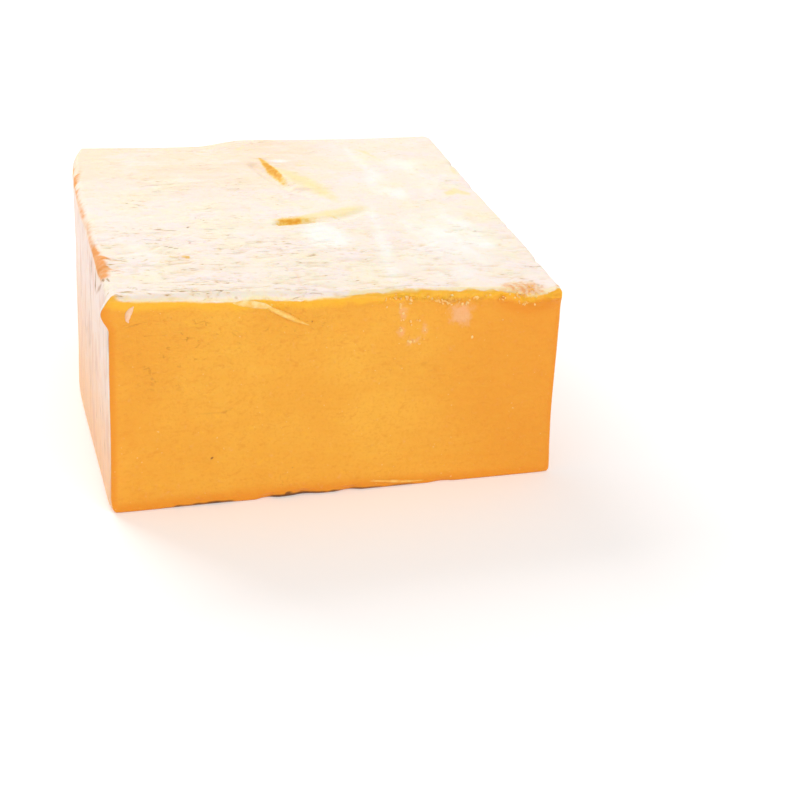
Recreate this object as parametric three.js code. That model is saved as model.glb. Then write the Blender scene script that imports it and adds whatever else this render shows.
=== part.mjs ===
// A block of pinconning cheese with its front cut away, lying on its underside.
// Millimetres. Origin under the middle of the block, on the surface that it rests on.
// +X runs to the right along the cut face, +Y runs back from it, +Z is up.

import * as THREE from 'three';

// Size of the squared block: a 7 x 3.5 in loaf, cut down from its 11 in length
const WIDTH = 178;
const DEPTH = 212;
const HEIGHT = 87;

// How far each corner of the squared block has moved as the cheese settled: right, back, up
const CORNER_SHIFT = {
  frontLeftLow: [-3.1, -0.5, 0],
  frontRightLow: [-0.1, 1.5, 0],
  backLeftLow: [-1.3, 0, 0],
  backRightLow: [0, 0, 0],
  frontLeftHigh: [-0.6, -2.1, 5.0],
  frontRightHigh: [3.2, 0.1, -6.3],
  backLeftHigh: [2.6, 1.7, 4.2],
  backRightHigh: [-2.4, -0.6, -3.2],
};

// Rounding of the upright corners, seen from above: along X at the base and at the top, and along Y
const UPRIGHT_ROUNDING = {
  frontLeft: { base: 1.2, top: 1.2, y: 1.2 },
  frontRight: { base: 1.6, top: 1.6, y: 1.6 },
  backLeft: { base: 26, top: 10, y: 102 },
  backRight: { base: 3.5, top: 3.5, y: 5 },
};

// Radius that rolls the top and the underside into each side
const TOP_ROLL = { front: 2.6, right: 1.8, back: 4.5, left: 4.0 };
const UNDERSIDE_ROLL = { front: 0.8, right: 2.5, back: 4.0, left: 2.2 };
const ROLL_BLEND = 2.0;

// Spacing of the surface points: fine by an edge, then wider, and closer again round the scoops
const EDGE_STEP = 0.9;
const STEP_GROWTH = 1.5;
const WIDE_STEP = { x: 6.0, y: 6.2, z: 9.5 };
const SCOOP_STEP = 3.3;
const SCOOP_SPAN = { x: [-13, 32], y: [-25, 68] };

// Rolls of paste that the wire left round the rim of the cut face
const RIM_LIP = { below: 3.4, reach: 3.6, height: 0.9 };
const RIM_WAVES = { slow: 17, quick: 6.1 };
const LEFT_BULGE = { z: 80.0, reachZ: 6.2, reachY: 8.5, height: 2.0 };
const CORNER_LUMP = { x: 82.5, z: 84.0, reachX: 11.5, reachZ: 8.5, height: 1.9 };
const LUMP_DIMPLE = { x: 80.0, y: -103.5, reachX: 7.0, reachY: 4.5, depth: 1.5 };

// Places where rind came off the top: each runs through [x, y, half width, depth]
const SCOOPS = [
  [[-4.5, 63, 2.6, 1.1], [0.5, 50, 4.2, 2.4], [5.5, 31, 3.4, 2.0], [14, 17, 6.5, 0.8], [25, 6, 4.0, 0.2]],
  [[-7.5, -20, 2.4, 1.3], [2.5, -19, 2.8, 1.7], [12, -17, 3.4, 0.7], [22, -14, 3.6, 1.0], [36, -2, 3.0, 0.2]],
];

// Nicks along the right top edge: place along Y, half length, depth
const RIGHT_NICKS = [[60, 4.5, 1.6], [24, 6.5, 1.4], [-30, 3.0, 0.7], [-72, 3.5, 0.8]];

// Nicks torn out of the front bottom edge: place along X, half length, depth
const FRONT_NICKS = [[-27, 5.0, 1.5], [-12, 7.0, 1.2], [6, 6.0, 1.5], [44, 6.0, 1.0]];

// Slow unevenness: height of the waves, and the sag of the top towards the back left
const TOP_WAVES = 0.45;
const SIDE_WAVES = 0.5;
const CUT_WAVES = 0.15;
const BACK_SAG = { depth: 2.8, from: -26, to: -1, reach: 60 };

const PASTE_COLOUR = 0xf4a838;
const PASTE_ROUGHNESS = 0.42;

const clamp01 = (t) => Math.min(1, Math.max(0, t));
const mix = (a, b, t) => a + (b - a) * t;

function smoothstep(low, high, value) {
  const t = clamp01((value - low) / (high - low));
  return t * t * (3 - 2 * t);
}

// A soft hump: 1 in the middle, 0 from a distance of 1
function hump(distance) {
  return distance < 1 ? (1 - distance * distance) ** 2 : 0;
}

// Slow, uneven waves over a plane, between about -1 and 1
function waves(a, b, phase) {
  return (
    0.5 * Math.sin(a / 31 + 1.3 * phase) * Math.cos(b / 27 - 0.7 * phase)
    + 0.3 * Math.sin(a / 13.7 - b / 21 + 2.1 * phase)
    + 0.2 * Math.cos(a / 19 + b / 11.3 + 0.4 * phase)
  );
}

// Evenly spaced values after the first end, up to and with the last
function evenLines(start, end, step) {
  const count = Math.max(1, Math.round((end - start) / step));
  return Array.from({ length: count }, (_, i) => start + ((end - start) * (i + 1)) / count);
}

// Lines across one direction: close together by both edges, then widening to the wide step
function gradedLines(start, end, wideStep, fineSpan) {
  const near = [0];
  for (let step = EDGE_STEP; step < wideStep; step *= STEP_GROWTH) near.push(near[near.length - 1] + step);
  const reach = near[near.length - 1];
  const middle = fineSpan
    ? [
        ...evenLines(start + reach, fineSpan[0], wideStep),
        ...evenLines(fineSpan[0], fineSpan[1], SCOOP_STEP),
        ...evenLines(fineSpan[1], end - reach, wideStep),
      ]
    : evenLines(start + reach, end - reach, wideStep);
  return [
    ...near.map((value) => start + value),
    ...middle.slice(0, -1),
    ...near.map((value) => end - value).reverse(),
  ];
}

// Rounding of the upright corner that is nearest to a point
function uprightRounding(x, y, z) {
  const end = y < 0 ? 'front' : 'back';
  const { base, top, y: along } = UPRIGHT_ROUNDING[end + (x < 0 ? 'Left' : 'Right')];
  return { x: mix(base, top, z / HEIGHT), y: along };
}

// Distance of a plan point into its corner's rounding, as shares of that rounding
function cornerShares(x, y, z) {
  const rounding = uprightRounding(x, y, z);
  return {
    rounding,
    a: (Math.abs(x) - (WIDTH / 2 - rounding.x)) / rounding.x,
    b: (Math.abs(y) - (DEPTH / 2 - rounding.y)) / rounding.y,
  };
}

// Pull a point of the squared plan in, so that the square corner becomes an arc
function roundPlan(x, y, z) {
  const { rounding, a, b } = cornerShares(x, y, z);
  if (a <= 0 || b <= 0) return [x, y];
  const pull = Math.max(a, b) / Math.hypot(a, b);
  return [
    Math.sign(x) * (WIDTH / 2 - rounding.x + a * pull * rounding.x),
    Math.sign(y) * (DEPTH / 2 - rounding.y + b * pull * rounding.y),
  ];
}

// How far a plan point lies inside the outline, and which way is straight out
function outlineAt(x, y, z) {
  const { rounding, a, b } = cornerShares(x, y, z);
  if (a > 0 && b > 0) {
    const q = Math.hypot(a, b);
    const gradient = [(Math.sign(x) * a) / (rounding.x * q), (Math.sign(y) * b) / (rounding.y * q)];
    const slope = Math.hypot(gradient[0], gradient[1]);
    return { inside: Math.max(0, (1 - q) / slope), out: [gradient[0] / slope, gradient[1] / slope] };
  }
  const toSide = WIDTH / 2 - Math.abs(x);
  const toEnd = DEPTH / 2 - Math.abs(y);
  return toSide < toEnd
    ? { inside: toSide, out: [Math.sign(x), 0] }
    : { inside: toEnd, out: [0, Math.sign(y)] };
}

// Roll radius at a plan point, blended from the sides that are near
function rollRadius(x, y, roll) {
  const near = [
    [DEPTH / 2 + y, roll.front],
    [WIDTH / 2 - x, roll.right],
    [DEPTH / 2 - y, roll.back],
    [WIDTH / 2 + x, roll.left],
  ];
  let total = 0;
  let weighted = 0;
  for (const [distance, radius] of near) {
    const weight = 1 / (Math.max(0, distance) + ROLL_BLEND) ** 2;
    total += weight;
    weighted += weight * radius;
  }
  return weighted / total;
}

// Roll the top into the sides
function rollTop(x, y, z) {
  const { inside, out } = outlineAt(x, y, z);
  const radius = rollRadius(x, y, TOP_ROLL);
  const a = clamp01((radius - inside) / radius);
  const b = clamp01((radius - HEIGHT + z) / radius);
  if (a <= 0 || b <= 0) return [x, y, z];
  const pull = Math.max(a, b) / Math.hypot(a, b);
  const move = a * (pull - 1) * radius;
  return [x + move * out[0], y + move * out[1], HEIGHT - radius + b * pull * radius];
}

// Roll the sides into the underside, which starts where the roll is level
function rollUnderside(x, y, z) {
  const { out } = outlineAt(x, y, z);
  const radius = rollRadius(x, y, UNDERSIDE_ROLL);
  if (z >= radius) return [x, y, z];
  const turn = (1 - z / radius) * (Math.PI / 2);
  const move = radius * (Math.cos(turn) - 1);
  return [x + move * out[0], y + move * out[1], radius * (1 - Math.sin(turn))];
}

// Move a point with the eight corners of the block
function settle(x, y, z) {
  const u = x / WIDTH + 0.5;
  const v = y / DEPTH + 0.5;
  const w = z / HEIGHT;
  const shift = (axis) => {
    const along = (end, level) => mix(
      CORNER_SHIFT[`${end}Left${level}`][axis],
      CORNER_SHIFT[`${end}Right${level}`][axis],
      u,
    );
    const low = mix(along('front', 'Low'), along('back', 'Low'), v);
    const high = mix(along('front', 'High'), along('back', 'High'), v);
    return mix(low, high, w);
  };
  return [x + shift(0), y + shift(1), z + shift(2)];
}

// Depth of one scoop at a point of the top
function scoopDepth(x, y, run) {
  let deepest = 0;
  for (let i = 0; i + 1 < run.length; i += 1) {
    const [ax, ay, aHalf, aDepth] = run[i];
    const [bx, by, bHalf, bDepth] = run[i + 1];
    const length = (bx - ax) ** 2 + (by - ay) ** 2;
    const t = clamp01(((x - ax) * (bx - ax) + (y - ay) * (by - ay)) / length);
    const distance = Math.hypot(x - mix(ax, bx, t), y - mix(ay, by, t));
    const depth = mix(aDepth, bDepth, t) * hump(distance / (1.35 * mix(aHalf, bHalf, t)));
    deepest = Math.max(deepest, depth);
  }
  return deepest;
}

// Height of the top above the plain block
function topRelief(x, y) {
  const sag = BACK_SAG.depth * (1 - smoothstep(BACK_SAG.from, BACK_SAG.to, x))
    * smoothstep(DEPTH / 2 - BACK_SAG.reach, DEPTH / 2, y);
  const scoops = SCOOPS.reduce((sum, run) => sum + scoopDepth(x, y, run), 0);
  const dimple = LUMP_DIMPLE.depth
    * hump(Math.hypot((x - LUMP_DIMPLE.x) / LUMP_DIMPLE.reachX, (y - LUMP_DIMPLE.y) / LUMP_DIMPLE.reachY));
  return TOP_WAVES * waves(x, y, 0) - sag - scoops - dimple;
}

// How far the cut face stands forward of its plane
function cutRelief(x, z) {
  const unevenness = 0.75 + 0.25 * Math.sin(x / RIM_WAVES.slow) + 0.2 * Math.sin(x / RIM_WAVES.quick);
  const lip = RIM_LIP.height * unevenness * hump(Math.abs(HEIGHT - RIM_LIP.below - z) / RIM_LIP.reach);
  const lump = CORNER_LUMP.height
    * hump(Math.hypot((x - CORNER_LUMP.x) / CORNER_LUMP.reachX, (z - CORNER_LUMP.z) / CORNER_LUMP.reachZ));
  return CUT_WAVES * waves(x, z, 4) + lip + lump;
}

// Depth of the nicks in one edge at a place along it
function nickDepth(along, nicks) {
  return nicks.reduce((sum, [at, half, depth]) => sum + depth * hump(Math.abs(along - at) / half), 0);
}

// Add the relief of all the sides to a point of the rounded block
function relief(x, y, z) {
  const nearTop = smoothstep(HEIGHT - 14, HEIGHT, z);
  const nearFront = 1 - smoothstep(0, 9, y + DEPTH / 2);
  const nearBack = smoothstep(0, 9, y - (DEPTH / 2 - 9));
  const nearLeft = 1 - smoothstep(0, 9, x + WIDTH / 2);
  const nearRight = smoothstep(0, 9, x - (WIDTH / 2 - 9));
  const clearOfBase = smoothstep(0, 12, z);
  const bulge = LEFT_BULGE.height
    * hump(Math.hypot((z - LEFT_BULGE.z) / LEFT_BULGE.reachZ, (y + DEPTH / 2) / LEFT_BULGE.reachY));
  const rightNick = nickDepth(y, RIGHT_NICKS) * smoothstep(HEIGHT - 3, HEIGHT - 0.5, z) * nearRight ** 2;
  const frontNick = nickDepth(x, FRONT_NICKS) * (1 - smoothstep(0.5, 3, z)) * nearFront;
  return [
    x + nearRight * clearOfBase * SIDE_WAVES * waves(y, z, 1) - rightNick
      - nearLeft * (clearOfBase * SIDE_WAVES * waves(y, z, 2) + bulge),
    y + nearBack * clearOfBase * SIDE_WAVES * waves(x, z, 3) - nearFront * cutRelief(x, z) + frontNick,
    z + nearTop * topRelief(x, y) - 0.7 * rightNick,
  ];
}

// A point of the finished surface from a point of the squared block
function surfacePoint(x, y, z) {
  const [px, py] = roundPlan(x, y, z);
  const [rx, ry, rz] = z > HEIGHT / 2 ? rollTop(px, py, z) : rollUnderside(px, py, z);
  const [fx, fy, fz] = relief(rx, ry, rz);
  return settle(fx, fy, fz);
}

// The closed surface: a grid on the top and on each side, and one flat underside
function blockGeometry() {
  const xs = gradedLines(-WIDTH / 2, WIDTH / 2, WIDE_STEP.x, SCOOP_SPAN.x);
  const ys = gradedLines(-DEPTH / 2, DEPTH / 2, WIDE_STEP.y, SCOOP_SPAN.y);
  const zs = gradedLines(0, HEIGHT, WIDE_STEP.z);
  const [lastX, lastY, lastZ] = [xs.length - 1, ys.length - 1, zs.length - 1];
  const positions = [];
  const known = new Map();
  const vertex = (i, j, k) => {
    const key = `${i},${j},${k}`;
    if (!known.has(key)) {
      known.set(key, positions.length / 3);
      positions.push(...surfacePoint(xs[i], ys[j], zs[k]));
    }
    return known.get(key);
  };

  const faces = [];
  // Two triangles for four corners that run anticlockwise when seen from outside
  const quad = (a, b, c, d) => faces.push(a, b, c, a, c, d);
  for (let i = 0; i < lastX; i += 1) {
    for (let j = 0; j < lastY; j += 1) {
      quad(vertex(i, j, lastZ), vertex(i + 1, j, lastZ), vertex(i + 1, j + 1, lastZ), vertex(i, j + 1, lastZ));
    }
  }
  for (let k = 0; k < lastZ; k += 1) {
    for (let i = 0; i < lastX; i += 1) {
      quad(vertex(i, 0, k), vertex(i + 1, 0, k), vertex(i + 1, 0, k + 1), vertex(i, 0, k + 1));
      quad(vertex(i + 1, lastY, k), vertex(i, lastY, k), vertex(i, lastY, k + 1), vertex(i + 1, lastY, k + 1));
    }
    for (let j = 0; j < lastY; j += 1) {
      quad(vertex(0, j + 1, k), vertex(0, j, k), vertex(0, j, k + 1), vertex(0, j + 1, k + 1));
      quad(vertex(lastX, j, k), vertex(lastX, j + 1, k), vertex(lastX, j + 1, k + 1), vertex(lastX, j, k + 1));
    }
  }

  // The rim of the underside, anticlockwise from above, and a fan of triangles inside it that face down
  const rim = [];
  for (let i = 0; i < lastX; i += 1) rim.push(vertex(i, 0, 0));
  for (let j = 0; j < lastY; j += 1) rim.push(vertex(lastX, j, 0));
  for (let i = lastX; i > 0; i -= 1) rim.push(vertex(i, lastY, 0));
  for (let j = lastY; j > 0; j -= 1) rim.push(vertex(0, j, 0));
  const hub = positions.length / 3;
  positions.push(0, 0, 0);
  rim.forEach((index, place) => faces.push(hub, rim[(place + 1) % rim.length], index));

  const geometry = new THREE.BufferGeometry();
  geometry.setAttribute('position', new THREE.Float32BufferAttribute(positions, 3));
  geometry.setIndex(faces);
  geometry.computeBoundingBox();
  const middle = geometry.boundingBox.getCenter(new THREE.Vector3());
  geometry.translate(-middle.x, -middle.y, 0);
  geometry.computeVertexNormals();
  return geometry;
}

const paste = new THREE.MeshStandardMaterial({ color: PASTE_COLOUR, roughness: PASTE_ROUGHNESS, metalness: 0 });
const block = new THREE.Mesh(blockGeometry(), paste);
block.name = 'cheese_block';

const group = new THREE.Group();
group.add(block);

export default group;
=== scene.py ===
"""Block of pinconning cheese, dressed round its solid model.

The solid gives the block's place and size. This file makes the fine surface of the block: the crinkled rind,
the cut paste, the rolled rim and the crumbs, with their materials, and a plain studio to show them in.
Sizes are in millimetres until a mesh is made, and a mesh is in metres.
"""

import logging
import math
from dataclasses import dataclass, field
from enum import Enum
from typing import NamedTuple

import bmesh
import bpy
import numpy as np
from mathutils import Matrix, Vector
from mathutils.bvhtree import BVHTree

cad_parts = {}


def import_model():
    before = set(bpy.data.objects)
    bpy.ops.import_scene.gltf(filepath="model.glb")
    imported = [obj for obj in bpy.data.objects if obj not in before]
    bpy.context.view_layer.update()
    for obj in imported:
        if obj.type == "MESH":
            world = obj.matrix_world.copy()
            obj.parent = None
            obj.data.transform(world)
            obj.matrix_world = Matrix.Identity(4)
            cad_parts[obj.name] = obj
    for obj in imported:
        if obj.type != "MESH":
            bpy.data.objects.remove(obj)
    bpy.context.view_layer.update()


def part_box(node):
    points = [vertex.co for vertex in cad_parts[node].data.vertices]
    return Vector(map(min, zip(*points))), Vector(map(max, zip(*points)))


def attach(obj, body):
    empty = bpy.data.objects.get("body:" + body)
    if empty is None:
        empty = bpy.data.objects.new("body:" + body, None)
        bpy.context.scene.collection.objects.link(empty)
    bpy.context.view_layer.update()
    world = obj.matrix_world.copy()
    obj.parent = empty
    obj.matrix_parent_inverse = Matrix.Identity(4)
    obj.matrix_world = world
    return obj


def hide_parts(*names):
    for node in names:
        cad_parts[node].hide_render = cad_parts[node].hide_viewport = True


MM = 0.001
NODE = "cheese_block"
BODY = "root"
# Points no further than this behind the plane of the cut belong to it, or to the left side in the same way.
FACE_REACH = 3.0

# A place along an edge, the half width of what is there, and its depth or height.
Nick = tuple[float, float, float]

log = logging.getLogger("cheese")


class Side(Enum):
    """The sides of the block."""

    FRONT = "front"
    RIGHT = "right"
    BACK = "back"
    LEFT = "left"
    TOP = "top"
    BASE = "base"


class Places(NamedTuple):
    """Places of points in millimetres: along X, along Y and up."""

    x: np.ndarray
    y: np.ndarray
    z: np.ndarray


def linear(colour: str) -> tuple[float, float, float, float]:
    """Turn an sRGB hex colour into linear values.

    Args:
        colour: six hex digits after a hash sign.

    Returns:
        Linear red, green and blue, and an alpha of 1.
    """
    parts = [int(colour[place:place + 2], 16) / 255 for place in (1, 3, 5)]
    red, green, blue = [c / 12.92 if c <= 0.04045 else ((c + 0.055) / 1.055) ** 2.4 for c in parts]
    return (red, green, blue, 1.0)


def smoothstep(low: float, high: float, value: np.ndarray) -> np.ndarray:
    """Rise smoothly from 0 at low to 1 at high."""
    t = np.clip((value - low) / (high - low), 0.0, 1.0)
    return t * t * (3.0 - 2.0 * t)


def hump(distance: np.ndarray) -> np.ndarray:
    """Give a soft hump: 1 in the middle, 0 from a distance of 1."""
    return np.where(distance < 1.0, (1.0 - np.minimum(distance, 1.0) ** 2) ** 2, 0.0)


def waves(a: np.ndarray, b: np.ndarray, phase: float) -> np.ndarray:
    """Give the slow, uneven waves of a settled surface, between about -1 and 1."""
    return (
        0.5 * np.sin(a / 31 + 1.3 * phase) * np.cos(b / 27 - 0.7 * phase)
        + 0.3 * np.sin(a / 13.7 - b / 21 + 2.1 * phase)
        + 0.2 * np.cos(a / 19 + b / 11.3 + 0.4 * phase)
    )


def add_node(tree: bpy.types.NodeTree, kind: str, inputs: dict | None = None, **settings) -> bpy.types.Node:
    """Add one node with its settings, and set or link its inputs.

    Args:
        tree: node tree that gets the node.
        kind: Blender's name of the node's type.
        inputs: a value or an output socket for each input, by its name or place.
        settings: values of the node's own properties.

    Returns:
        The new node.
    """
    node = tree.nodes.new(kind)
    for name, value in settings.items():
        setattr(node, name, value)
    for key, value in (inputs or {}).items():
        if isinstance(value, bpy.types.NodeSocket):
            tree.links.new(value, node.inputs[key])
        else:
            node.inputs[key].default_value = value
    return node


def mesh_piece(name: str, points: np.ndarray, faces: list, smooth: bool = True) -> bpy.types.Object:
    """Make an object from points in millimetres.

    Args:
        name: name of the object.
        points: one row of three for each point.
        faces: corner numbers of each face, anticlockwise from outside.
        smooth: whether the faces shade smoothly.

    Returns:
        The object, at the origin, linked to the scene.
    """
    mesh = bpy.data.meshes.new(name)
    mesh.from_pydata((points * MM).tolist(), [], faces)
    mesh.polygons.foreach_set("use_smooth", [smooth] * len(mesh.polygons))
    mesh.update()
    piece = bpy.data.objects.new(name, mesh)
    bpy.context.scene.collection.objects.link(piece)
    return piece


class Noise:
    """Smooth noise from one seeded table."""

    def __init__(self, seed: int, size: int = 128) -> None:
        """Fill the table.

        Args:
            seed: seed of the table's numbers.
            size: numbers along each side of the table.
        """
        self.size = size
        self.table = np.random.default_rng(seed).uniform(-1.0, 1.0, (size, size))

    def at(self, a: np.ndarray, b: np.ndarray | float = 0.0) -> np.ndarray:
        """Give the noise at points of a plane whose grid step is 1.

        Args:
            a: first coordinate.
            b: second coordinate.

        Returns:
            Values between -1 and 1.
        """
        low_a, low_b = np.floor(a).astype(int), np.floor(b).astype(int)
        part_a, part_b = a - low_a, b - low_b
        fade_a = part_a ** 3 * (part_a * (part_a * 6 - 15) + 10)
        fade_b = part_b ** 3 * (part_b * (part_b * 6 - 15) + 10)
        first, second = low_a % self.size, (low_a + 1) % self.size
        rows = (low_b % self.size, (low_b + 1) % self.size)
        near, far = [self.table[first, row] * (1 - fade_a) + self.table[second, row] * fade_a for row in rows]
        return near * (1 - fade_b) + far * fade_b

    def layered(self, a: np.ndarray, b: np.ndarray, layers: int = 3) -> np.ndarray:
        """Add finer and weaker layers of the noise."""
        return sum(self.at(a * 2 ** k + 17.3 * k, b * 2 ** k + 9.1 * k) / 2 ** k for k in range(layers)) / 1.6


@dataclass(frozen=True)
class Run:
    """A mark along a line: each stop is (x, y, half width, strength), and it is so much wider along y."""

    stops: tuple[tuple[float, float, float, float], ...]
    stretch: float = 1.0

    def at(self, x: np.ndarray, y: np.ndarray, spread: float = 1.0) -> np.ndarray:
        """Give the mark's strength at points.

        Args:
            x: first coordinate.
            y: second coordinate.
            spread: factor on the half widths.

        Returns:
            The strength, 0 beyond the mark.
        """
        most = np.zeros_like(x)
        y = y / self.stretch
        stops = [(stop_x, stop_y / self.stretch, half, much) for stop_x, stop_y, half, much in self.stops]
        for (ax, ay, a_half, a_much), (bx, by, b_half, b_much) in zip(stops, stops[1:]):
            length = (bx - ax) ** 2 + (by - ay) ** 2
            t = np.clip(((x - ax) * (bx - ax) + (y - ay) * (by - ay)) / length, 0.0, 1.0)
            distance = np.hypot(x - ax - t * (bx - ax), y - ay - t * (by - ay))
            half = spread * (a_half + (b_half - a_half) * t)
            most = np.maximum(most, (a_much + (b_much - a_much) * t) * hump(distance / half))
        return most


@dataclass(frozen=True)
class Patch:
    """An oval mark: its middle, its reach each way and its strength."""

    x: float
    y: float
    reach_x: float
    reach_y: float
    strength: float

    def at(self, x: np.ndarray, y: np.ndarray) -> np.ndarray:
        """Give the mark's strength at points."""
        return self.strength * hump(np.hypot((x - self.x) / self.reach_x, (y - self.y) / self.reach_y))


def total(marks: tuple[Run | Patch, ...], x: np.ndarray, y: np.ndarray) -> np.ndarray:
    """Add up the strengths of marks at points."""
    return sum(mark.at(x, y) for mark in marks)


class Rounding(NamedTuple):
    """Rounding of an upright corner, seen from above: along X at the base and the top, and along Y."""

    base: float
    top: float
    along: float


class Roll(NamedTuple):
    """Radius that rolls a level face into each side."""

    front: float
    right: float
    back: float
    left: float


@dataclass(frozen=True)
class Shift:
    """How far one upright edge of the loaf has settled, at its low and at its high end."""

    end: Side
    hand: Side
    low: tuple[float, float, float]
    high: tuple[float, float, float]


@dataclass
class BlockForm:
    """The form of the block, in millimetres, from the squared loaf to its settled, rolled surface."""

    width: float = 178.0
    depth: float = 212.0
    height: float = 87.0
    front_left: Rounding = Rounding(1.2, 1.2, 1.2)
    front_right: Rounding = Rounding(1.6, 1.6, 1.6)
    back_left: Rounding = Rounding(26.0, 10.0, 102.0)
    back_right: Rounding = Rounding(3.5, 3.5, 5.0)
    top_roll: Roll = Roll(front=2.6, right=1.8, back=4.5, left=4.0)
    underside_roll: Roll = Roll(front=0.8, right=2.5, back=4.0, left=2.2)
    roll_blend: float = 2.0
    rim_below: float = 3.4
    rim_reach: float = 3.6
    rim_height: float = 0.9
    rim_slow_wave: float = 17.0
    rim_quick_wave: float = 6.1
    left_bulge: Patch = Patch(80.0, 0.0, 7.0, 9.0, 3.1)
    corner_lump: Patch = Patch(82.5, 84.0, 11.5, 8.5, 1.9)
    lump_dimple: Patch = Patch(80.0, -103.5, 7.0, 4.5, 1.5)
    scoop_spread: float = 1.35
    scoops: tuple[Run, ...] = (
        Run((
            (-4.5, 63, 2.6, 1.1), (0.5, 50, 4.2, 2.4), (5.5, 31, 3.4, 2), (14, 17, 6.5, 0.8), (25, 6, 4, 0.2),
        )),
        Run((
            (-7.5, -20, 2.4, 1.3), (2.5, -19, 2.8, 1.7), (12, -17, 3.4, 0.7), (22, -14, 3.6, 1),
            (36, -2, 3, 0.2),
        )),
    )
    right_nicks: tuple[Nick, ...] = ((60, 4.5, 0.8), (24, 6.5, 0.4), (-30, 3, 0.5), (-72, 3.5, 0.6))
    front_nicks: tuple[Nick, ...] = ((-27, 5, 1.5), (-12, 7, 1.2), (6, 6, 1.5), (44, 6, 1))
    nick_slope: float = 0.7
    top_waves: float = 0.45
    side_waves: float = 0.5
    cut_waves: float = 0.15
    side_reach: float = 9.0
    top_reach: float = 14.0
    base_reach: float = 12.0
    sag_depth: float = 2.8
    sag_from: float = -26.0
    sag_to: float = -1.0
    sag_reach: float = 60.0
    shifts: tuple[Shift, ...] = (
        Shift(Side.FRONT, Side.LEFT, low=(-3.1, -0.5, 0.0), high=(-0.6, -2.1, 5.0)),
        Shift(Side.FRONT, Side.RIGHT, low=(-0.1, 1.5, 0.0), high=(3.2, 0.1, -6.3)),
        Shift(Side.BACK, Side.LEFT, low=(-1.3, 0.0, 0.0), high=(2.6, 1.7, 4.2)),
        Shift(Side.BACK, Side.RIGHT, low=(0.0, 0.0, 0.0), high=(-2.4, -0.6, -3.2)),
    )

    def on_cut(self, at: Places) -> np.ndarray:
        """Tell which points lie on the cut face."""
        return at.y < FACE_REACH - self.depth / 2

    def corner_shares(self, at: Places) -> tuple[np.ndarray, np.ndarray, np.ndarray, np.ndarray]:
        """Measure how far points lie in their corner's rounding.

        Args:
            at: the points.

        Returns:
            The rounding along X and along Y, and the distance into each as a share of it.
        """
        corners = np.array((self.front_left, self.front_right, self.back_left, self.back_right))
        base, top, along = corners[2 * (at.y >= 0) + (at.x >= 0)].T
        across = base + (top - base) * at.z / self.height
        into_x = (np.abs(at.x) - (self.width / 2 - across)) / across
        into_y = (np.abs(at.y) - (self.depth / 2 - along)) / along
        return across, along, into_x, into_y

    def round_plan(self, at: Places) -> Places:
        """Pull the square corners of the plan in to arcs.

        Args:
            at: points of the squared block.

        Returns:
            The moved points.
        """
        across, along, a, b = self.corner_shares(at)
        inside = (a > 0) & (b > 0)
        pull = np.maximum(a, b) / np.where(inside, np.hypot(a, b), 1.0)
        rounded_x = np.sign(at.x) * (self.width / 2 - across + a * pull * across)
        rounded_y = np.sign(at.y) * (self.depth / 2 - along + b * pull * along)
        return Places(np.where(inside, rounded_x, at.x), np.where(inside, rounded_y, at.y), at.z)

    def outline_at(self, at: Places) -> tuple[np.ndarray, np.ndarray, np.ndarray]:
        """Measure how far points lie inside the outline, and which way is straight out.

        Args:
            at: the points.

        Returns:
            The distance inside, and the outward direction along X and Y.
        """
        across, along, a, b = self.corner_shares(at)
        corner = (a > 0) & (b > 0)
        q = np.where(corner, np.hypot(a, b), 1.0)
        slope_x = np.sign(at.x) * a / (across * q)
        slope_y = np.sign(at.y) * b / (along * q)
        slope = np.where(corner, np.hypot(slope_x, slope_y), 1.0)
        to_side = self.width / 2 - np.abs(at.x)
        to_end = self.depth / 2 - np.abs(at.y)
        sideways = to_side < to_end
        inside = np.where(corner, np.maximum(0.0, (1.0 - q) / slope), np.minimum(to_side, to_end))
        out_x = np.where(corner, slope_x / slope, np.where(sideways, np.sign(at.x), 0.0))
        out_y = np.where(corner, slope_y / slope, np.where(sideways, 0.0, np.sign(at.y)))
        return inside, out_x, out_y

    def roll_radius(self, at: Places, roll: Roll) -> np.ndarray:
        """Blend a roll's radius from the sides that are near.

        Args:
            at: the points.
            roll: the radius at each side.

        Returns:
            The radius at each point.
        """
        half_width, half_depth = self.width / 2, self.depth / 2
        distances = (half_depth + at.y, half_width - at.x, half_depth - at.y, half_width + at.x)
        weights = [1.0 / (np.maximum(0.0, distance) + self.roll_blend) ** 2 for distance in distances]
        return sum(weight * radius for weight, radius in zip(weights, roll)) / sum(weights)

    def roll_edges(self, at: Places) -> Places:
        """Roll the top into the sides, and the sides into the underside.

        Args:
            at: points with the plan's corners rounded.

        Returns:
            The moved points.
        """
        inside, out_x, out_y = self.outline_at(at)
        upper = at.z > self.height / 2
        radius = self.roll_radius(at, self.top_roll)
        a = np.clip((radius - inside) / radius, 0.0, 1.0)
        b = np.clip((radius - self.height + at.z) / radius, 0.0, 1.0)
        rolled = (a > 0) & (b > 0)
        pull = np.where(rolled, np.maximum(a, b) / np.where(rolled, np.hypot(a, b), 1.0), 1.0)
        top_move = a * (pull - 1.0) * radius
        top_level = np.where(rolled, self.height - radius + b * pull * radius, at.z)
        low = self.roll_radius(at, self.underside_roll)
        turn = np.clip(1.0 - at.z / low, 0.0, 1.0) * math.pi / 2
        low_move = low * (np.cos(turn) - 1.0)
        low_level = np.where(at.z < low, low * (1.0 - np.sin(turn)), at.z)
        move = np.where(upper, np.where(rolled, top_move, 0.0), low_move)
        return Places(at.x + move * out_x, at.y + move * out_y, np.where(upper, top_level, low_level))

    def rounded(self, at: Places) -> Places:
        """Round the corners and roll the edges of points of the squared block."""
        return self.roll_edges(self.round_plan(at))

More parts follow.
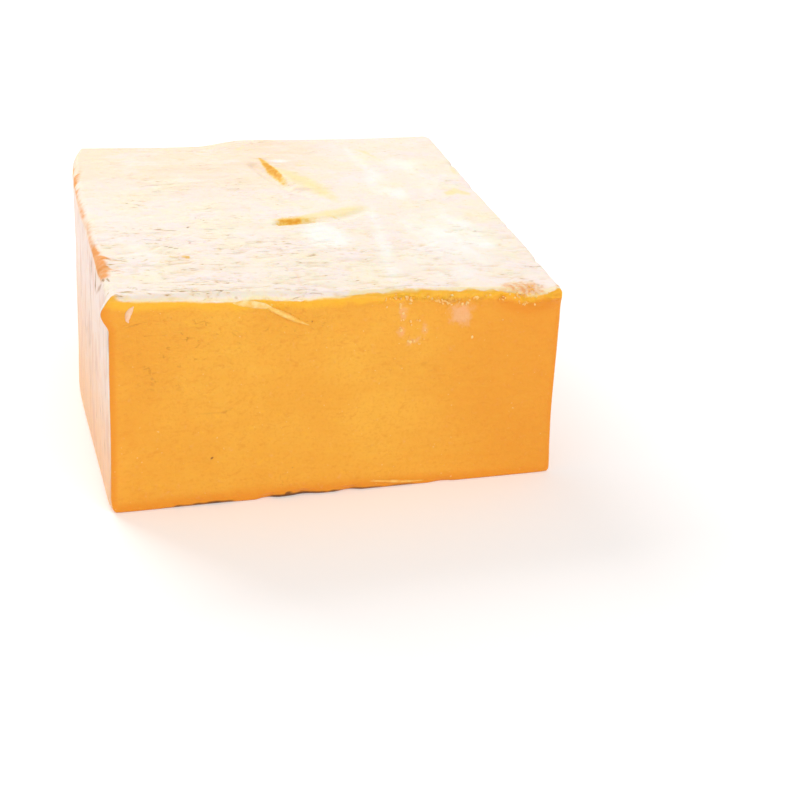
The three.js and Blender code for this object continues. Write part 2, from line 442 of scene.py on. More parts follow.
    def top_relief(self, at: Places) -> np.ndarray:
        """Give the height of the top above the plain block.

        Args:
            at: points of the rounded block.

        Returns:
            The height at each point.
        """
        sag = self.sag_depth * (1.0 - smoothstep(self.sag_from, self.sag_to, at.x))
        sag = sag * smoothstep(self.depth / 2 - self.sag_reach, self.depth / 2, at.y)
        scoops = sum(scoop.at(at.x, at.y, self.scoop_spread) for scoop in self.scoops)
        return self.top_waves * waves(at.x, at.y, 0) - sag - scoops - self.lump_dimple.at(at.x, at.y)

    def cut_relief(self, at: Places) -> np.ndarray:
        """Give how far the cut face stands forward of its plane, most at the rim that the wire dragged up.

        Args:
            at: points of the rounded block.

        Returns:
            The distance at each point.
        """
        slow, quick = np.sin(at.x / self.rim_slow_wave), np.sin(at.x / self.rim_quick_wave)
        from_rim = np.abs(self.height - self.rim_below - at.z) / self.rim_reach
        lip = self.rim_height * (0.75 + 0.25 * slow + 0.2 * quick) * hump(from_rim)
        return self.cut_waves * waves(at.x, at.z, 4) + lip + self.corner_lump.at(at.x, at.z)

    @staticmethod
    def nick_depth(along: np.ndarray, nicks: tuple[Nick, ...]) -> np.ndarray:
        """Give the depth of the nicks in one edge at places along it."""
        return sum(depth * hump(np.abs(along - at) / half) for at, half, depth in nicks)

    def nearness(self, at: Places) -> dict[Side, np.ndarray]:
        """Tell how near points are to each side, from 0 to 1."""
        reach = self.side_reach
        return {
            Side.TOP: smoothstep(self.height - self.top_reach, self.height, at.z),
            Side.FRONT: 1.0 - smoothstep(0.0, reach, at.y + self.depth / 2),
            Side.BACK: smoothstep(0.0, reach, at.y - (self.depth / 2 - reach)),
            Side.LEFT: 1.0 - smoothstep(0.0, reach, at.x + self.width / 2),
            Side.RIGHT: smoothstep(0.0, reach, at.x - (self.width / 2 - reach)),
            Side.BASE: 1.0 - smoothstep(0.0, self.base_reach, at.z),
        }

    def relief(self, at: Places) -> Places:
        """Add the relief of all the sides.

        Args:
            at: points of the rounded block.

        Returns:
            The moved points.
        """
        near = self.nearness(at)
        free = (1.0 - near[Side.BASE]) * self.side_waves
        bulge = self.left_bulge.at(at.z, at.y + self.depth / 2)
        right_nick = self.nick_depth(at.y, self.right_nicks) * near[Side.RIGHT] ** 2
        right_nick = right_nick * smoothstep(self.height - 3.0, self.height - 0.5, at.z)
        front_nick = self.nick_depth(at.x, self.front_nicks) * (1.0 - smoothstep(0.5, 3.0, at.z))
        x = at.x + near[Side.RIGHT] * free * waves(at.y, at.z, 1) - right_nick
        x = x - near[Side.LEFT] * (free * waves(at.y, at.z, 2) + bulge)
        y = at.y + near[Side.BACK] * free * waves(at.x, at.z, 3)
        y = y - near[Side.FRONT] * (self.cut_relief(at) - front_nick)
        return Places(x, y, at.z + near[Side.TOP] * self.top_relief(at) - self.nick_slope * right_nick)

    def settle(self, at: Places) -> np.ndarray:
        """Move points with the upright edges of the block.

        Args:
            at: points of the block.

        Returns:
            One row of three for each point.
        """
        u, v, w = at.x / self.width + 0.5, at.y / self.depth + 0.5, (at.z / self.height)[:, None]
        shares = {Side.FRONT: 1 - v, Side.BACK: v, Side.LEFT: 1 - u, Side.RIGHT: u}
        moved = np.stack(at, axis=1)
        for shift in self.shifts:
            share = (shares[shift.end] * shares[shift.hand])[:, None]
            moved = moved + share * ((1 - w) * np.array(shift.low) + w * np.array(shift.high))
        return moved


@dataclass(frozen=True)
class Zone:
    """A box on the squared block in which its grid is made finer."""

    x: tuple[float, float]
    y: tuple[float, float]
    z: tuple[float, float]

    def holds(self, place: Vector) -> bool:
        """Tell whether a place is in the box."""
        return all(low <= value <= high for value, (low, high) in zip(place, (self.x, self.y, self.z)))


@dataclass
class Lattice:
    """Closed grid on the squared block: finer on the top and the cut, and finest at the rim."""

    edge_step: float = 0.55
    step_growth: float = 1.4
    wide_step: float = 2.0
    least_area: float = 0.45
    fine: tuple[Zone, ...] = (
        Zone((-90, 90), (-107, 107), (86.9, 88)),
        Zone((-90, 90), (-107, -105.9), (-1, 88)),
    )
    finest: tuple[Zone, ...] = (
        Zone((-90, 90), (-107, -105.9), (74, 88)),
        Zone((-90, 90), (-107, -99), (86.9, 88)),
        Zone((-90, -84), (-92, 56), (86.9, 88)),
        Zone((-5, 27), (8, 71), (86.9, 88)),
        Zone((-9, 37), (-28, -2), (86.9, 88)),
        Zone((-68, 40), (-107, -105.9), (-1, 4)),
    )

    def lines(self, start: float, end: float) -> np.ndarray:
        """Space lines across one direction: close by both edges, then at the wide step.

        Args:
            start: first line.
            end: last line.

        Returns:
            The lines' places.
        """
        near = [0.0]
        step = self.edge_step
        while step < self.wide_step:
            near.append(near[-1] + step)
            step *= self.step_growth
        reach = near[-1]
        count = round((end - start - 2 * reach) / self.wide_step)
        middle = np.linspace(start + reach, end - reach, count + 1)[1:-1]
        return np.concatenate([start + np.array(near), middle, end - np.array(near)[::-1]])

    def sheets(self, form: BlockForm) -> tuple[np.ndarray, list]:
        """Make the even grid.

        Args:
            form: the block's form.

        Returns:
            The grid's points, and its faces.
        """
        xs = self.lines(-form.width / 2, form.width / 2)
        ys = self.lines(-form.depth / 2, form.depth / 2)
        zs = self.lines(0.0, form.height)
        index = np.full((len(xs), len(ys), len(zs)), -1)
        shell = np.zeros(index.shape, bool)
        for side in (np.s_[0], np.s_[-1], np.s_[:, 0], np.s_[:, -1], np.s_[:, :, -1]):
            shell[side] = True
        where = np.argwhere(shell)
        index[shell] = np.arange(len(where))
        points = np.stack([xs[where[:, 0]], ys[where[:, 1]], zs[where[:, 2]]], axis=1)
        faces = []
        sheets = (index[:, :, -1], index[:, 0, :], index[::-1, -1, :], index[0, ::-1, :], index[-1, :, :])
        for sheet in sheets:
            corners = (sheet[:-1, :-1], sheet[1:, :-1], sheet[1:, 1:], sheet[:-1, 1:])
            faces += np.stack(corners, axis=-1).reshape(-1, 4).tolist()
        rim = [*index[:-1, 0, 0], *index[-1, :-1, 0], *index[:0:-1, -1, 0], *index[0, :0:-1, 0]]
        hub = len(points)
        faces += [(hub, int(rim[(k + 1) % len(rim)]), int(rim[k])) for k in range(len(rim))]
        return np.vstack([points, (0.0, 0.0, 0.0)]), faces

    def refine(self, grid: bmesh.types.BMesh, zones: tuple[Zone, ...]) -> None:
        """Split the faces of a grid that lie in any of the zones.

        Args:
            grid: the grid.
            zones: where it is made finer.
        """
        grid.faces.ensure_lookup_table()
        picked = [
            face for face in grid.faces
            if face.calc_area() > self.least_area
            and any(zone.holds(face.calc_center_median()) for zone in zones)
        ]
        edges = {edge for face in picked for edge in face.edges}
        bmesh.ops.subdivide_edges(grid, edges=list(edges), cuts=1, use_grid_fill=True)

    def build(self, form: BlockForm) -> bpy.types.Mesh:
        """Build the whole grid as a mesh in millimetres.

        Args:
            form: the block's form.

        Returns:
            The mesh.
        """
        points, faces = self.sheets(form)
        mesh = bpy.data.meshes.new("block")
        mesh.from_pydata(points.tolist(), [], faces)
        grid = bmesh.new()
        grid.from_mesh(mesh)
        self.refine(grid, self.fine)
        self.refine(grid, self.finest)
        grid.to_mesh(mesh)
        grid.free()
        return mesh


@dataclass
class FineRelief:
    """Low relief that is finer than the solid's: folds of the rind, and the torn base of the cut."""

    fold_length: float = 42.0
    fold_step: float = 9.0
    fold_height: float = 0.4
    wrinkle_length: float = 14.0
    wrinkle_step: float = 3.1
    wrinkle_height: float = 0.45
    wrinkle_width: float = 0.16
    wrinkles_from: float = 30.0
    wrinkles_to: float = -75.0
    ripple_length: float = 6.0
    ripple_step: float = 2.0
    ripple_height: float = 0.09
    pleat_step: float = 8.0
    pleat_length: float = 30.0
    pleat_height: float = 0.45
    rim_height: float = 0.2
    rough_rim: float = 0.9
    rim_step: tuple[float, float] = (2.8, 1.9)
    gaps: tuple[Nick, ...] = (
        (-60, 12, 0.5), (-47, 12, 0.9), (-21, 7, 1.35), (-13, 8, 1.1), (-2, 9, 0.7), (12, 12, 0.6),
        (27, 10, 0.5),
    )
    gap_step: float = 2.6
    gap_slope: float = 0.5
    foot_height: float = 0.6
    corner_reach: float = 7.0
    corner_pull: float = 1.5
    seed: int = 41

    def __post_init__(self) -> None:
        """Make the noise tables."""
        self.noise = Noise(self.seed)
        self.other = Noise(self.seed + 1)

    def valleys(self, at: Places) -> np.ndarray:
        """Give the narrow, broken valleys of the rind's wrinkles, which are deepest near the cut.

        Args:
            at: points of the rounded block.

        Returns:
            Values between -1 and 0.
        """
        along, across = at.x / self.wrinkle_length, at.y / self.wrinkle_step
        bend = 1.1 * self.other.at(along / 0.6, across / 5)
        value = self.noise.layered(along, across + bend, 2)
        broken = smoothstep(-0.35, 0.35, self.other.at(along / 0.5 + 3.0, across / 1.6))
        deeper = 0.25 + 0.75 * smoothstep(-self.wrinkles_from, -self.wrinkles_to, -at.y)
        return -deeper * np.exp(-((value / self.wrinkle_width) ** 2)) * broken

    def top(self, at: Places) -> np.ndarray:
        """Give the height of the top's folds, wrinkles and ripples.

        Args:
            at: points of the rounded block.

        Returns:
            The height at each point.
        """
        rough = 1.0 - 0.5 * smoothstep(-20.0, 40.0, at.x) * smoothstep(-60.0, 0.0, at.y)
        folds = self.fold_height * self.noise.layered(at.x / self.fold_length + 5.0, at.y / self.fold_step, 2)
        wrinkles = self.wrinkle_height * self.valleys(at)
        ripples = self.other.layered(at.x / self.ripple_length, at.y / self.ripple_step, 2)
        return rough * (folds + wrinkles + self.ripple_height * ripples)

    def base_gap(self, x: np.ndarray) -> np.ndarray:
        """Give how far the lower edge of the cut is torn up, at places along it."""
        torn = sum(height * hump(np.abs(x - at) / half) for at, half, height in self.gaps)
        return torn * (0.85 + 0.35 * self.noise.at(x / self.gap_step, 4))

    def foot(self, x: np.ndarray) -> np.ndarray:
        """Give the height of the bevel under the torn edge, at places along it."""
        return self.foot_height * (0.4 + 0.9 * self.base_gap(x))

    def under(self, form: BlockForm, at: Places) -> np.ndarray:
        """Tell how much painted shade darkens the bevel under the torn edge."""
        dark = np.clip(0.3 + 0.9 * self.base_gap(at.x), 0.0, 1.0)
        return form.on_cut(at) * dark * (1.0 - smoothstep(0.85, 1.25, at.z / self.foot(at.x)))

    def moves(self, form: BlockForm, at: Places, cover: np.ndarray) -> Places:
        """Give how far points of the rounded block move.

        Args:
            form: the block's form.
            at: the points.
            cover: how much rind covers each point.

        Returns:
            The moves along X, Y and Z.
        """
        near = form.nearness(at)
        on_top = smoothstep(form.height - 4.0, form.height - 1.0, at.z)
        rim = self.rim_height + self.rough_rim * smoothstep(8.0, 26.0, at.x)
        rim = rim * (1.0 - smoothstep(3.0, 9.0, form.height - at.z))
        rim = rim * self.other.layered(at.x / self.rim_step[0], at.z / self.rim_step[1], 3)
        pleats_side = self.noise.layered(at.y / self.pleat_step, at.z / self.pleat_length, 3)
        pleats_back = self.noise.layered(at.x / self.pleat_step, at.z / self.pleat_length + 7, 3)
        free = self.pleat_height * (1.0 - near[Side.BASE]) * cover * (1.0 - on_top)
        foot = self.foot(at.x)
        up_foot = np.clip(at.z / foot, 0.0, 1.0)
        low_corner = (1.0 - np.minimum(at.z / self.corner_reach, 1.0)) ** 2
        low_corner = low_corner * near[Side.FRONT] * near[Side.LEFT]
        x = free * pleats_side * (near[Side.RIGHT] - near[Side.LEFT]) + self.corner_pull * low_corner
        y = free * pleats_back * near[Side.BACK] - near[Side.FRONT] * (1.0 - cover) * rim
        y = y + self.gap_slope * near[Side.FRONT] * foot * (1.0 - up_foot)
        gap = self.base_gap(at.x) * near[Side.FRONT] * up_foot * (1.0 - smoothstep(0.0, 6.0, at.z - foot))
        return Places(x, y, on_top * cover * self.top(at) + gap)


@dataclass
class RindBorder:
    """The border of the rind over the cut: each stop is (place along X, distance below the top)."""

    stops: tuple[tuple[float, float], ...] = (
        (-90, 0.6), (-87, 1.2), (-83, 1.9), (-76, 2.1), (-60, 2.6), (-52, 3.2), (-40, 3.4), (-34, 2.7),
        (-29, 2.4), (-23, 2.8), (-17, 3.2), (-12, 3.1), (-6, 2.3), (0, 2.0), (5, 1.4), (11, 0.9),
        (17, 1.2), (23, 0.5),
        (34, 0.25), (40, 0.5), (51, 0.35), (57, 0.8), (63, 0.8), (68, 1.2), (73, 3.0), (77, 2.8), (81, 1.2),
        (85, 0.3), (90, 0.2),
    )
    ragged: float = 0.35
    soft_left: float = 0.9
    soft_right: float = 0.6
    bare_corner: Patch = Patch(-92.0, -107.0, 11.0, 12.0, 1.3)
    bare_end: Patch = Patch(91.0, -106.0, 8.0, 11.0, 1.0)
    bare_reach: float = 6.0
    seed: int = 7

    def __post_init__(self) -> None:
        """Make the noise table."""
        self.noise = Noise(self.seed)

    def drop(self, x: np.ndarray) -> np.ndarray:
        """Give how far the border lies below the top, at places along it."""
        return np.interp(x, *zip(*self.stops))

    def cover(self, form: BlockForm, at: Places) -> np.ndarray:
        """Tell how much rind covers points, from 0 on the cut to 1.

        Args:
            form: the block's form.
            at: points of the rounded block.

        Returns:
            The cover at each point.
        """
        _, out_x, out_y = form.outline_at(at)
        teeth = 0.7 * self.noise.at(at.x / 6.0) + 0.5 * self.noise.at(at.x / 1.9, 9)
        teeth = teeth * (smoothstep(-80.0, -30.0, at.x) + smoothstep(5.0, 25.0, at.x))
        drop = np.maximum(self.drop(at.x) + self.ragged * teeth, 0.1)
        soft = self.soft_left + (self.soft_right - self.soft_left) * smoothstep(-75.0, -20.0, at.x)
        above = smoothstep(-soft, soft, drop - (form.height - at.z))
        on_cut = form.on_cut(at)
        at_side = smoothstep(0.5, 0.85, np.abs(out_x)) * on_cut
        bared = self.bare_corner.at(at.x, at.y) * (out_x > -0.4) + self.bare_end.at(at.x, at.y)
        bared = smoothstep(0.0, 0.95, bared) * (at.z > form.height - self.bare_reach)
        return np.maximum(np.maximum(above, ~on_cut | (out_y > 0.1)) * (1.0 - bared), at_side)

    def golden(self, form: BlockForm, at: Places) -> np.ndarray:
        """Tell where the paste is yellower, in a band under the border that is partly a painted highlight on
        the raised lip.
        """
        under = form.height - at.z - self.drop(at.x) + 0.7 * self.noise.at(at.x / 4.0, 6)
        return (1.0 - smoothstep(0.6, 6.2, under)) * (0.85 + 0.3 * self.noise.at(at.x / 9.0, 2))

    def seam(self, form: BlockForm, at: Places) -> np.ndarray:
        """Tell where the border fades into the paste, which it doesn't at the bare corner; its cream-yellow
        is partly painted light on the shaded rind there.
        """
        under = form.height - at.z - self.drop(at.x) + 0.5 - 0.4 * self.noise.at(at.x / 3.0, 8)
        closed = 1.0 - 0.9 * self.bare_corner.at(at.x, at.y)
        return 0.7 * (1.0 - smoothstep(0.1, 1.5, np.abs(under))) * closed


@dataclass
class EdgeStrip:
    """The orange strip along the left edge of the top, on its roll into the left side."""

    start: float = 0.8
    end_back: float = 3.0
    end_front: float = 4.3
    seed: int = 7

    def at(self, form: BlockForm, at: Places) -> np.ndarray:
        """Give how strongly the strip marks points.

        Args:
            form: the block's form.
            at: points of the rounded block.

        Returns:
            The strip's strength at each point, from 0 to 1.
        """
        noise = Noise(self.seed)
        inside, out_x, _ = form.outline_at(at)
        radius = form.roll_radius(at, form.top_roll)
        across = np.clip((radius - inside) / radius, 0.0, 1.0)
        up = np.clip((at.z - form.height + radius) / radius, 0.0, 1.0)
        arc = radius * np.arctan2(up, np.maximum(across, 1e-6))
        arc = arc + np.maximum(inside - radius, 0.0) - np.maximum(form.height - radius - at.z, 0.0)
        teeth = 0.5 * noise.at(at.y / 3.1, 3) + 0.6 * noise.at(at.y / 1.5, 5)
        end = self.end_back + (self.end_front - self.end_back) * smoothstep(60.0, -30.0, at.y) + teeth
        strength = 0.45 + 0.3 * smoothstep(-44.0, -66.0, at.y) + 0.4 * smoothstep(-30.0, 10.0, at.y)
        strength = strength + 0.2 * noise.at(at.y / 6.0)
        strength = strength * smoothstep(104.0, 66.0, at.y) * smoothstep(-88.0, -78.0, at.y)
        shape = smoothstep(0.0, 0.9, arc - self.start) * (1.0 - smoothstep(-1.6, 1.6, arc - end))
        return np.clip(strength, 0.0, 1.0) * shape * (out_x < -0.3)


@dataclass(frozen=True)
class TopMarks:
    """Where the top is worn, gouged bare, scratched, oily or white with chalk, by X and Y."""

    worn: tuple[Run | Patch, ...] = (
        Run(((-11.6, -81.2, 1.6, 0.3), (-12, -91, 1.8, 0.4), (-12.5, -100, 1.8, 0.35))),
        Run(((-82, 62, 2.4, 0.5), (-83.6, 54, 2.2, 0.8), (-85, 44, 2, 0.5))),
        Run((
            (-88.6, -30, 2, 0.4), (-88.2, -46, 2.8, 0.6), (-87.4, -62, 4.2, 0.9), (-87.2, -75, 4.2, 1),
            (-86.6, -84, 2.8, 0.6),
        )),
        Run(((-87, -60, 2.4, 0.9), (-83, -64, 2, 0.7), (-80, -66.5, 1.2, 0.4))),
        Run(((-86.6, -72.5, 2.4, 0.9), (-83, -77, 1.8, 0.7), (-79.4, -80, 1.2, 0.4))),
        Patch(-17.8, 3, 3.6, 5.4, 0.3),
        Patch(-12.6, -43, 3.4, 4.2, 0.3),
        Patch(-16, -26, 4.4, 5.2, 0.22),
        Patch(-34, 78, 5, 5, 0.2),
        Patch(-58, -28, 5, 5, 0.25),
        Patch(-54, -62, 7, 5, 0.25),
        Patch(80.5, -98.5, 7.5, 7, 0.3),
    )
    bare: tuple[Run | Patch, ...] = (
        Run((
            (0.6, 72, 1.8, 0.6), (1.9, 63.2, 2.6, 1.2), (3, 57.8, 3.2, 1.4), (4.4, 50.9, 3, 1.1),
            (6.2, 40, 2.2, 0.5),
        ), 1.8),
        Run((
            (-7.6, -19, 2.6, 0.6), (-3.6, -18.4, 3.4, 0.9), (1.1, -17.6, 3.4, 0.8), (7.6, -15, 3, 0.35),
        ), 2.4),
        Run(((15.6, -11.4, 1.2, 0.4), (18.6, -14, 1.2, 0.5)), 1.8),
        Run(((-53.2, -61.8, 1.1, 0.9), (-51.4, -62.6, 0.9, 0.9)), 1.7),
        Run(((-59, -61.4, 0.8, 0.5), (-55, -62, 0.8, 0.5)), 1.3),
        Run(((-66.5, -67, 0.8, 0.35), (-61.5, -69, 0.9, 0.45)), 1.6),
        Run(((-25.4, 94, 1, 0.4), (-20.6, 90.6, 0.9, 0.4)), 1.8),
    )
    strokes: tuple[Run | Patch, ...] = (
        Run(((-69.5, -25.6, 0.8, 0.6), (-66.3, -26.6, 0.7, 0.5))),
        Run(((-62.2, -25.6, 0.8, 0.5), (-57, -27.2, 0.9, 0.9), (-51.5, -27.8, 0.7, 0.6))),
        Run(((-59.6, -48.6, 0.8, 0.8), (-54.4, -51.4, 0.9, 0.9))),
        Run(((-41.6, -10.6, 0.9, 0.6), (-37.4, -15.6, 0.7, 0.5))),
        Run((
            (-81.8, -94.8, 0.6, 0.4), (-77.4, -100, 0.7, 0.7), (-70.5, -102.4, 0.6, 0.5),
            (-64, -103.6, 0.8, 0.8),
        )),
        Run((
            (-64, -103.6, 0.8, 0.8), (-54, -104.6, 0.7, 0.7), (-46, -104.4, 0.8, 0.9),
            (-38, -104.4, 0.6, 0.6),
        )),
        Run(((-60, -92.6, 0.6, 0.4), (-51, -93.8, 0.7, 0.7), (-43, -92.4, 0.6, 0.6), (-35, -92, 0.5, 0.4))),
        Run(((19.2, -15.5, 0.8, 0.5), (20.6, -21.5, 0.8, 0.35), (21.8, -29, 0.7, 0.25), (22, -40, 0.6, 0.1))),
        Run(((64.8, -52.2, 0.8, 0.5), (70.6, -52.6, 0.7, 0.4))),
        Run(((28, 66.2, 0.9, 0.3), (32, 63, 0.8, 0.3))),
        Run(((-84.6, -63.4, 0.9, 0.8), (-80.6, -64.6, 0.7, 0.6))),
        Run(((-84, -79, 0.9, 0.7), (-80, -76.6, 0.7, 0.5))),
        Run(((-88.6, -83, 0.8, 0.9), (-88.2, -86, 0.7, 0.7))),
        Run(((-87, -86, 0.7, 0.8), (-86.4, -89.6, 0.7, 0.6))),
        Patch(-46.3, -23.7, 0.9, 1.5, 1),
        Patch(-48.6, -44.7, 0.9, 1.5, 0.8),
        Patch(-53.2, -61.8, 1, 1.2, 0.5),
        Patch(-73.7, -63.1, 1.6, 1.2, 0.6),
        Patch(-78.6, -33, 0.9, 1, 0.4),
        Patch(70.5, -41.8, 1, 1, 0.3),
        Patch(87, -26, 0.9, 1, 0.5),
        Patch(77, -100.5, 1.6, 1.3, 0.7),
        Patch(81.5, -97, 2, 1.2, 0.7),
        Patch(83.5, -101, 1.4, 1.4, 0.6),
        Patch(74, -103, 1.4, 1, 0.5),
    )
    oily: tuple[Run | Patch, ...] = (
        Run((
            (2.8, 61, 2.6, 0.7), (5.8, 56, 4, 0.9), (10, 48, 6.4, 1), (14, 39, 8, 1), (17, 30, 8.4, 0.9),
            (20.6, 20, 6.4, 0.9), (24, 8, 4, 0.5),
        ), 1.3),
        Run((
            (2, -15, 2.4, 0.9), (10.4, -11.6, 3.6, 1), (20.4, -8.4, 4.2, 1), (27, -5, 3.8, 0.8),
            (35, -2.2, 2.8, 0.4),
        ), 2.2),
        Run(((47.6, 85, 1.8, 0.5), (50.6, 81, 2.2, 0.8), (53, 74, 2, 0.6), (56, 65, 1.6, 0.3)), 1.6),
        Run(((74.6, 16, 2, 1), (79.3, 19.4, 2.8, 1.3), (83.6, 15, 2.2, 1)), 2.2),
        Run(((85.6, 54.4, 1.8, 0.7), (85.4, 46.4, 2, 0.8)), 1.8),
        Run(((-7.8, 88.6, 1.8, 0.6), (-3.8, 92, 1.8, 0.6)), 1.8),
        Run(((15.6, 62, 1.4, 0.6), (19.2, 61.4, 1.4, 0.5)), 1.6),
        Run(((30.4, 47, 1.6, 0.6), (33.4, 43.4, 1.6, 0.5)), 1.6),
        Run(((76, -14, 2.6, 0.3), (84, -17, 2.8, 0.4))),
    )
    chalk_and_highlight: tuple[Run | Patch, ...] = (
        Run((
            (43.4, 92, 3.6, 0.4), (44.6, 76, 5, 0.55), (46, 60, 7.4, 0.6), (47.2, 44, 9, 0.65),
            (44, 22, 8, 0.6), (37.5, 8.5, 4.6, 0.35), (34.6, -16, 5, 0.55), (31.8, -44.4, 6.2, 0.66),
            (29.5, -64, 6.6, 0.7),
            (28.1, -82, 6.6, 0.65), (25.5, -103, 6, 0.55),
        )),
        Patch(9.5, -38.5, 16, 27, 1.3),
        Patch(62, -40, 32, 56, 0.85),
        Patch(70, 40, 26, 60, 0.4),
        Patch(-66, -86, 20, 18, 0.4),
        Patch(-30, -30, 14, 16, 0.35),
        Patch(52, 17.5, 10, 13, 0.9),
        Patch(8.2, 68.4, 8, 4.4, 1),
        Patch(73.8, -54.6, 6.5, 6, 0.8),
        Patch(54, -89, 18, 14, 0.6),
        Patch(41, -74, 7, 16, 0.5),
        Patch(-70, -48, 16, 34, 0.5),
        Patch(-40, 40, 22, 12, 0.35),
        Patch(-60, 74, 22, 12, 0.35),
        Patch(62, 62, 18, 22, 0.3),
    )


@dataclass(frozen=True)
class CutMarks:
    """Where the cut is grazed, crumbly, scarred, pitted, scored, deeper orange or darkened by painted shade,
    by X and height.
    """

    graze: tuple[Patch, ...] = (
        Patch(26.5, 76, 3.4, 6.5, 0.75),
        Patch(26, 68, 3.4, 5.5, 0.65),
        Patch(30.5, 63, 6.5, 3.4, 0.6),
        Patch(35.5, 67, 2.8, 5, 0.65),
        Patch(50, 73.8, 8.4, 6.2, 1),
        Patch(51, 70.4, 5.4, 5.4, 0.6),
    )
    crumbly: tuple[Run, ...] = (
        Run((
            (17, 82.4, 1.6, 0.5), (24, 82.6, 2.2, 0.9), (32, 81.4, 2.6, 0.8), (40, 80.6, 3, 0.9),
            (46, 79.6, 2.6, 1),
        )),
        Run(((46, 79.6, 2.6, 1), (54, 79.2, 2.2, 0.8), (62, 79.4, 2, 0.7), (68, 78.6, 2.6, 0.9))),
        Run(((-88, 88.6, 1.4, 0.3), (-60, 88, 1.2, 0.4), (-40, 87, 1.2, 0.3), (-20, 85, 1.2, 0.2))),
    )
    # Painted shadow under the lump at the right end of the rim.
    painted_shadow_under_lump: Patch = Patch(79, 77.5, 17, 9, 0.9)
    scarred: tuple[Patch, ...] = (
        Patch(-62, 66, 34, 26, 0.8),
        Patch(-20, 76, 30, 14, 0.5),
        Patch(30, 52, 26, 16, 0.35),
    )
    pits: tuple[Patch, ...] = (
        Patch(-50.6, 20.4, 0.9, 0.9, 1.2),
        Patch(-18.4, 13.2, 0.8, 0.8, 0.9),
        Patch(-55.7, 62.9, 1.5, 1, 0.7),
        Patch(-34.6, 55, 0.8, 0.8, 0.5),
        Patch(-11, 72.5, 0.9, 1, 0.7),
        Patch(-9.8, 74.8, 0.7, 1.1, 0.8),
        Patch(47.8, 41.3, 0.9, 0.9, 0.6),
    )
    scores: tuple[Run, ...] = (
        Run(((-69, 39.2, 0.6, 0.2), (-60, 39.7, 0.6, 0.35), (-50, 39.6, 0.6, 0.4), (-40, 39.9, 0.6, 0.2))),
        Run(((-48, 38.9, 0.6, 0.4), (-45.6, 39.4, 0.6, 0.55), (-42, 41.2, 0.6, 0.4))),
        Run(((-24.2, 13, 0.5, 0.2), (-23.4, 8, 0.6, 0.5), (-21.9, 4.3, 0.5, 0.4))),
        Run(((-21.4, 12.4, 0.5, 0.2), (-20.6, 7.6, 0.6, 0.4))),
        Run(((-84, 78.2, 0.5, 0.3), (-79, 79.4, 0.6, 0.6), (-74.5, 80.6, 0.5, 0.3))),
    )

    def deeper_orange_and_painted_shade(self, form: BlockForm, flat: Places, at: Places) -> np.ndarray:
        """Tell where the paste is deeper orange, by the side edges and the base, and where painted shade
        darkens it: under the lump, at the left and more and more towards the right.

        Args:
            form: the block's form.
            flat: points of the rounded block.
            at: the same points, settled.

        Returns:
            The share of the deeper orange colour, which is partly painted shade.
        """
        by_side = 1.0 - smoothstep(0.4, 6.0, form.width / 2 - np.abs(flat.x))
        by_base = 0.9 * (1.0 - smoothstep(0.5, 9.0, flat.z))
        # Painted shade: darker at the left of the cut, under the lump, and growing towards the right.
        painted_shade_left = 0.42 * (1.0 - smoothstep(5.0, 40.0, flat.x + form.width / 2))
        painted_shade_share = 0.7 * smoothstep(-10.0, 95.0, flat.x) + painted_shade_left + self.painted_shadow_under_lump.at(at.x, at.z)
        return np.maximum(np.maximum(by_side, by_base), painted_shade_share)


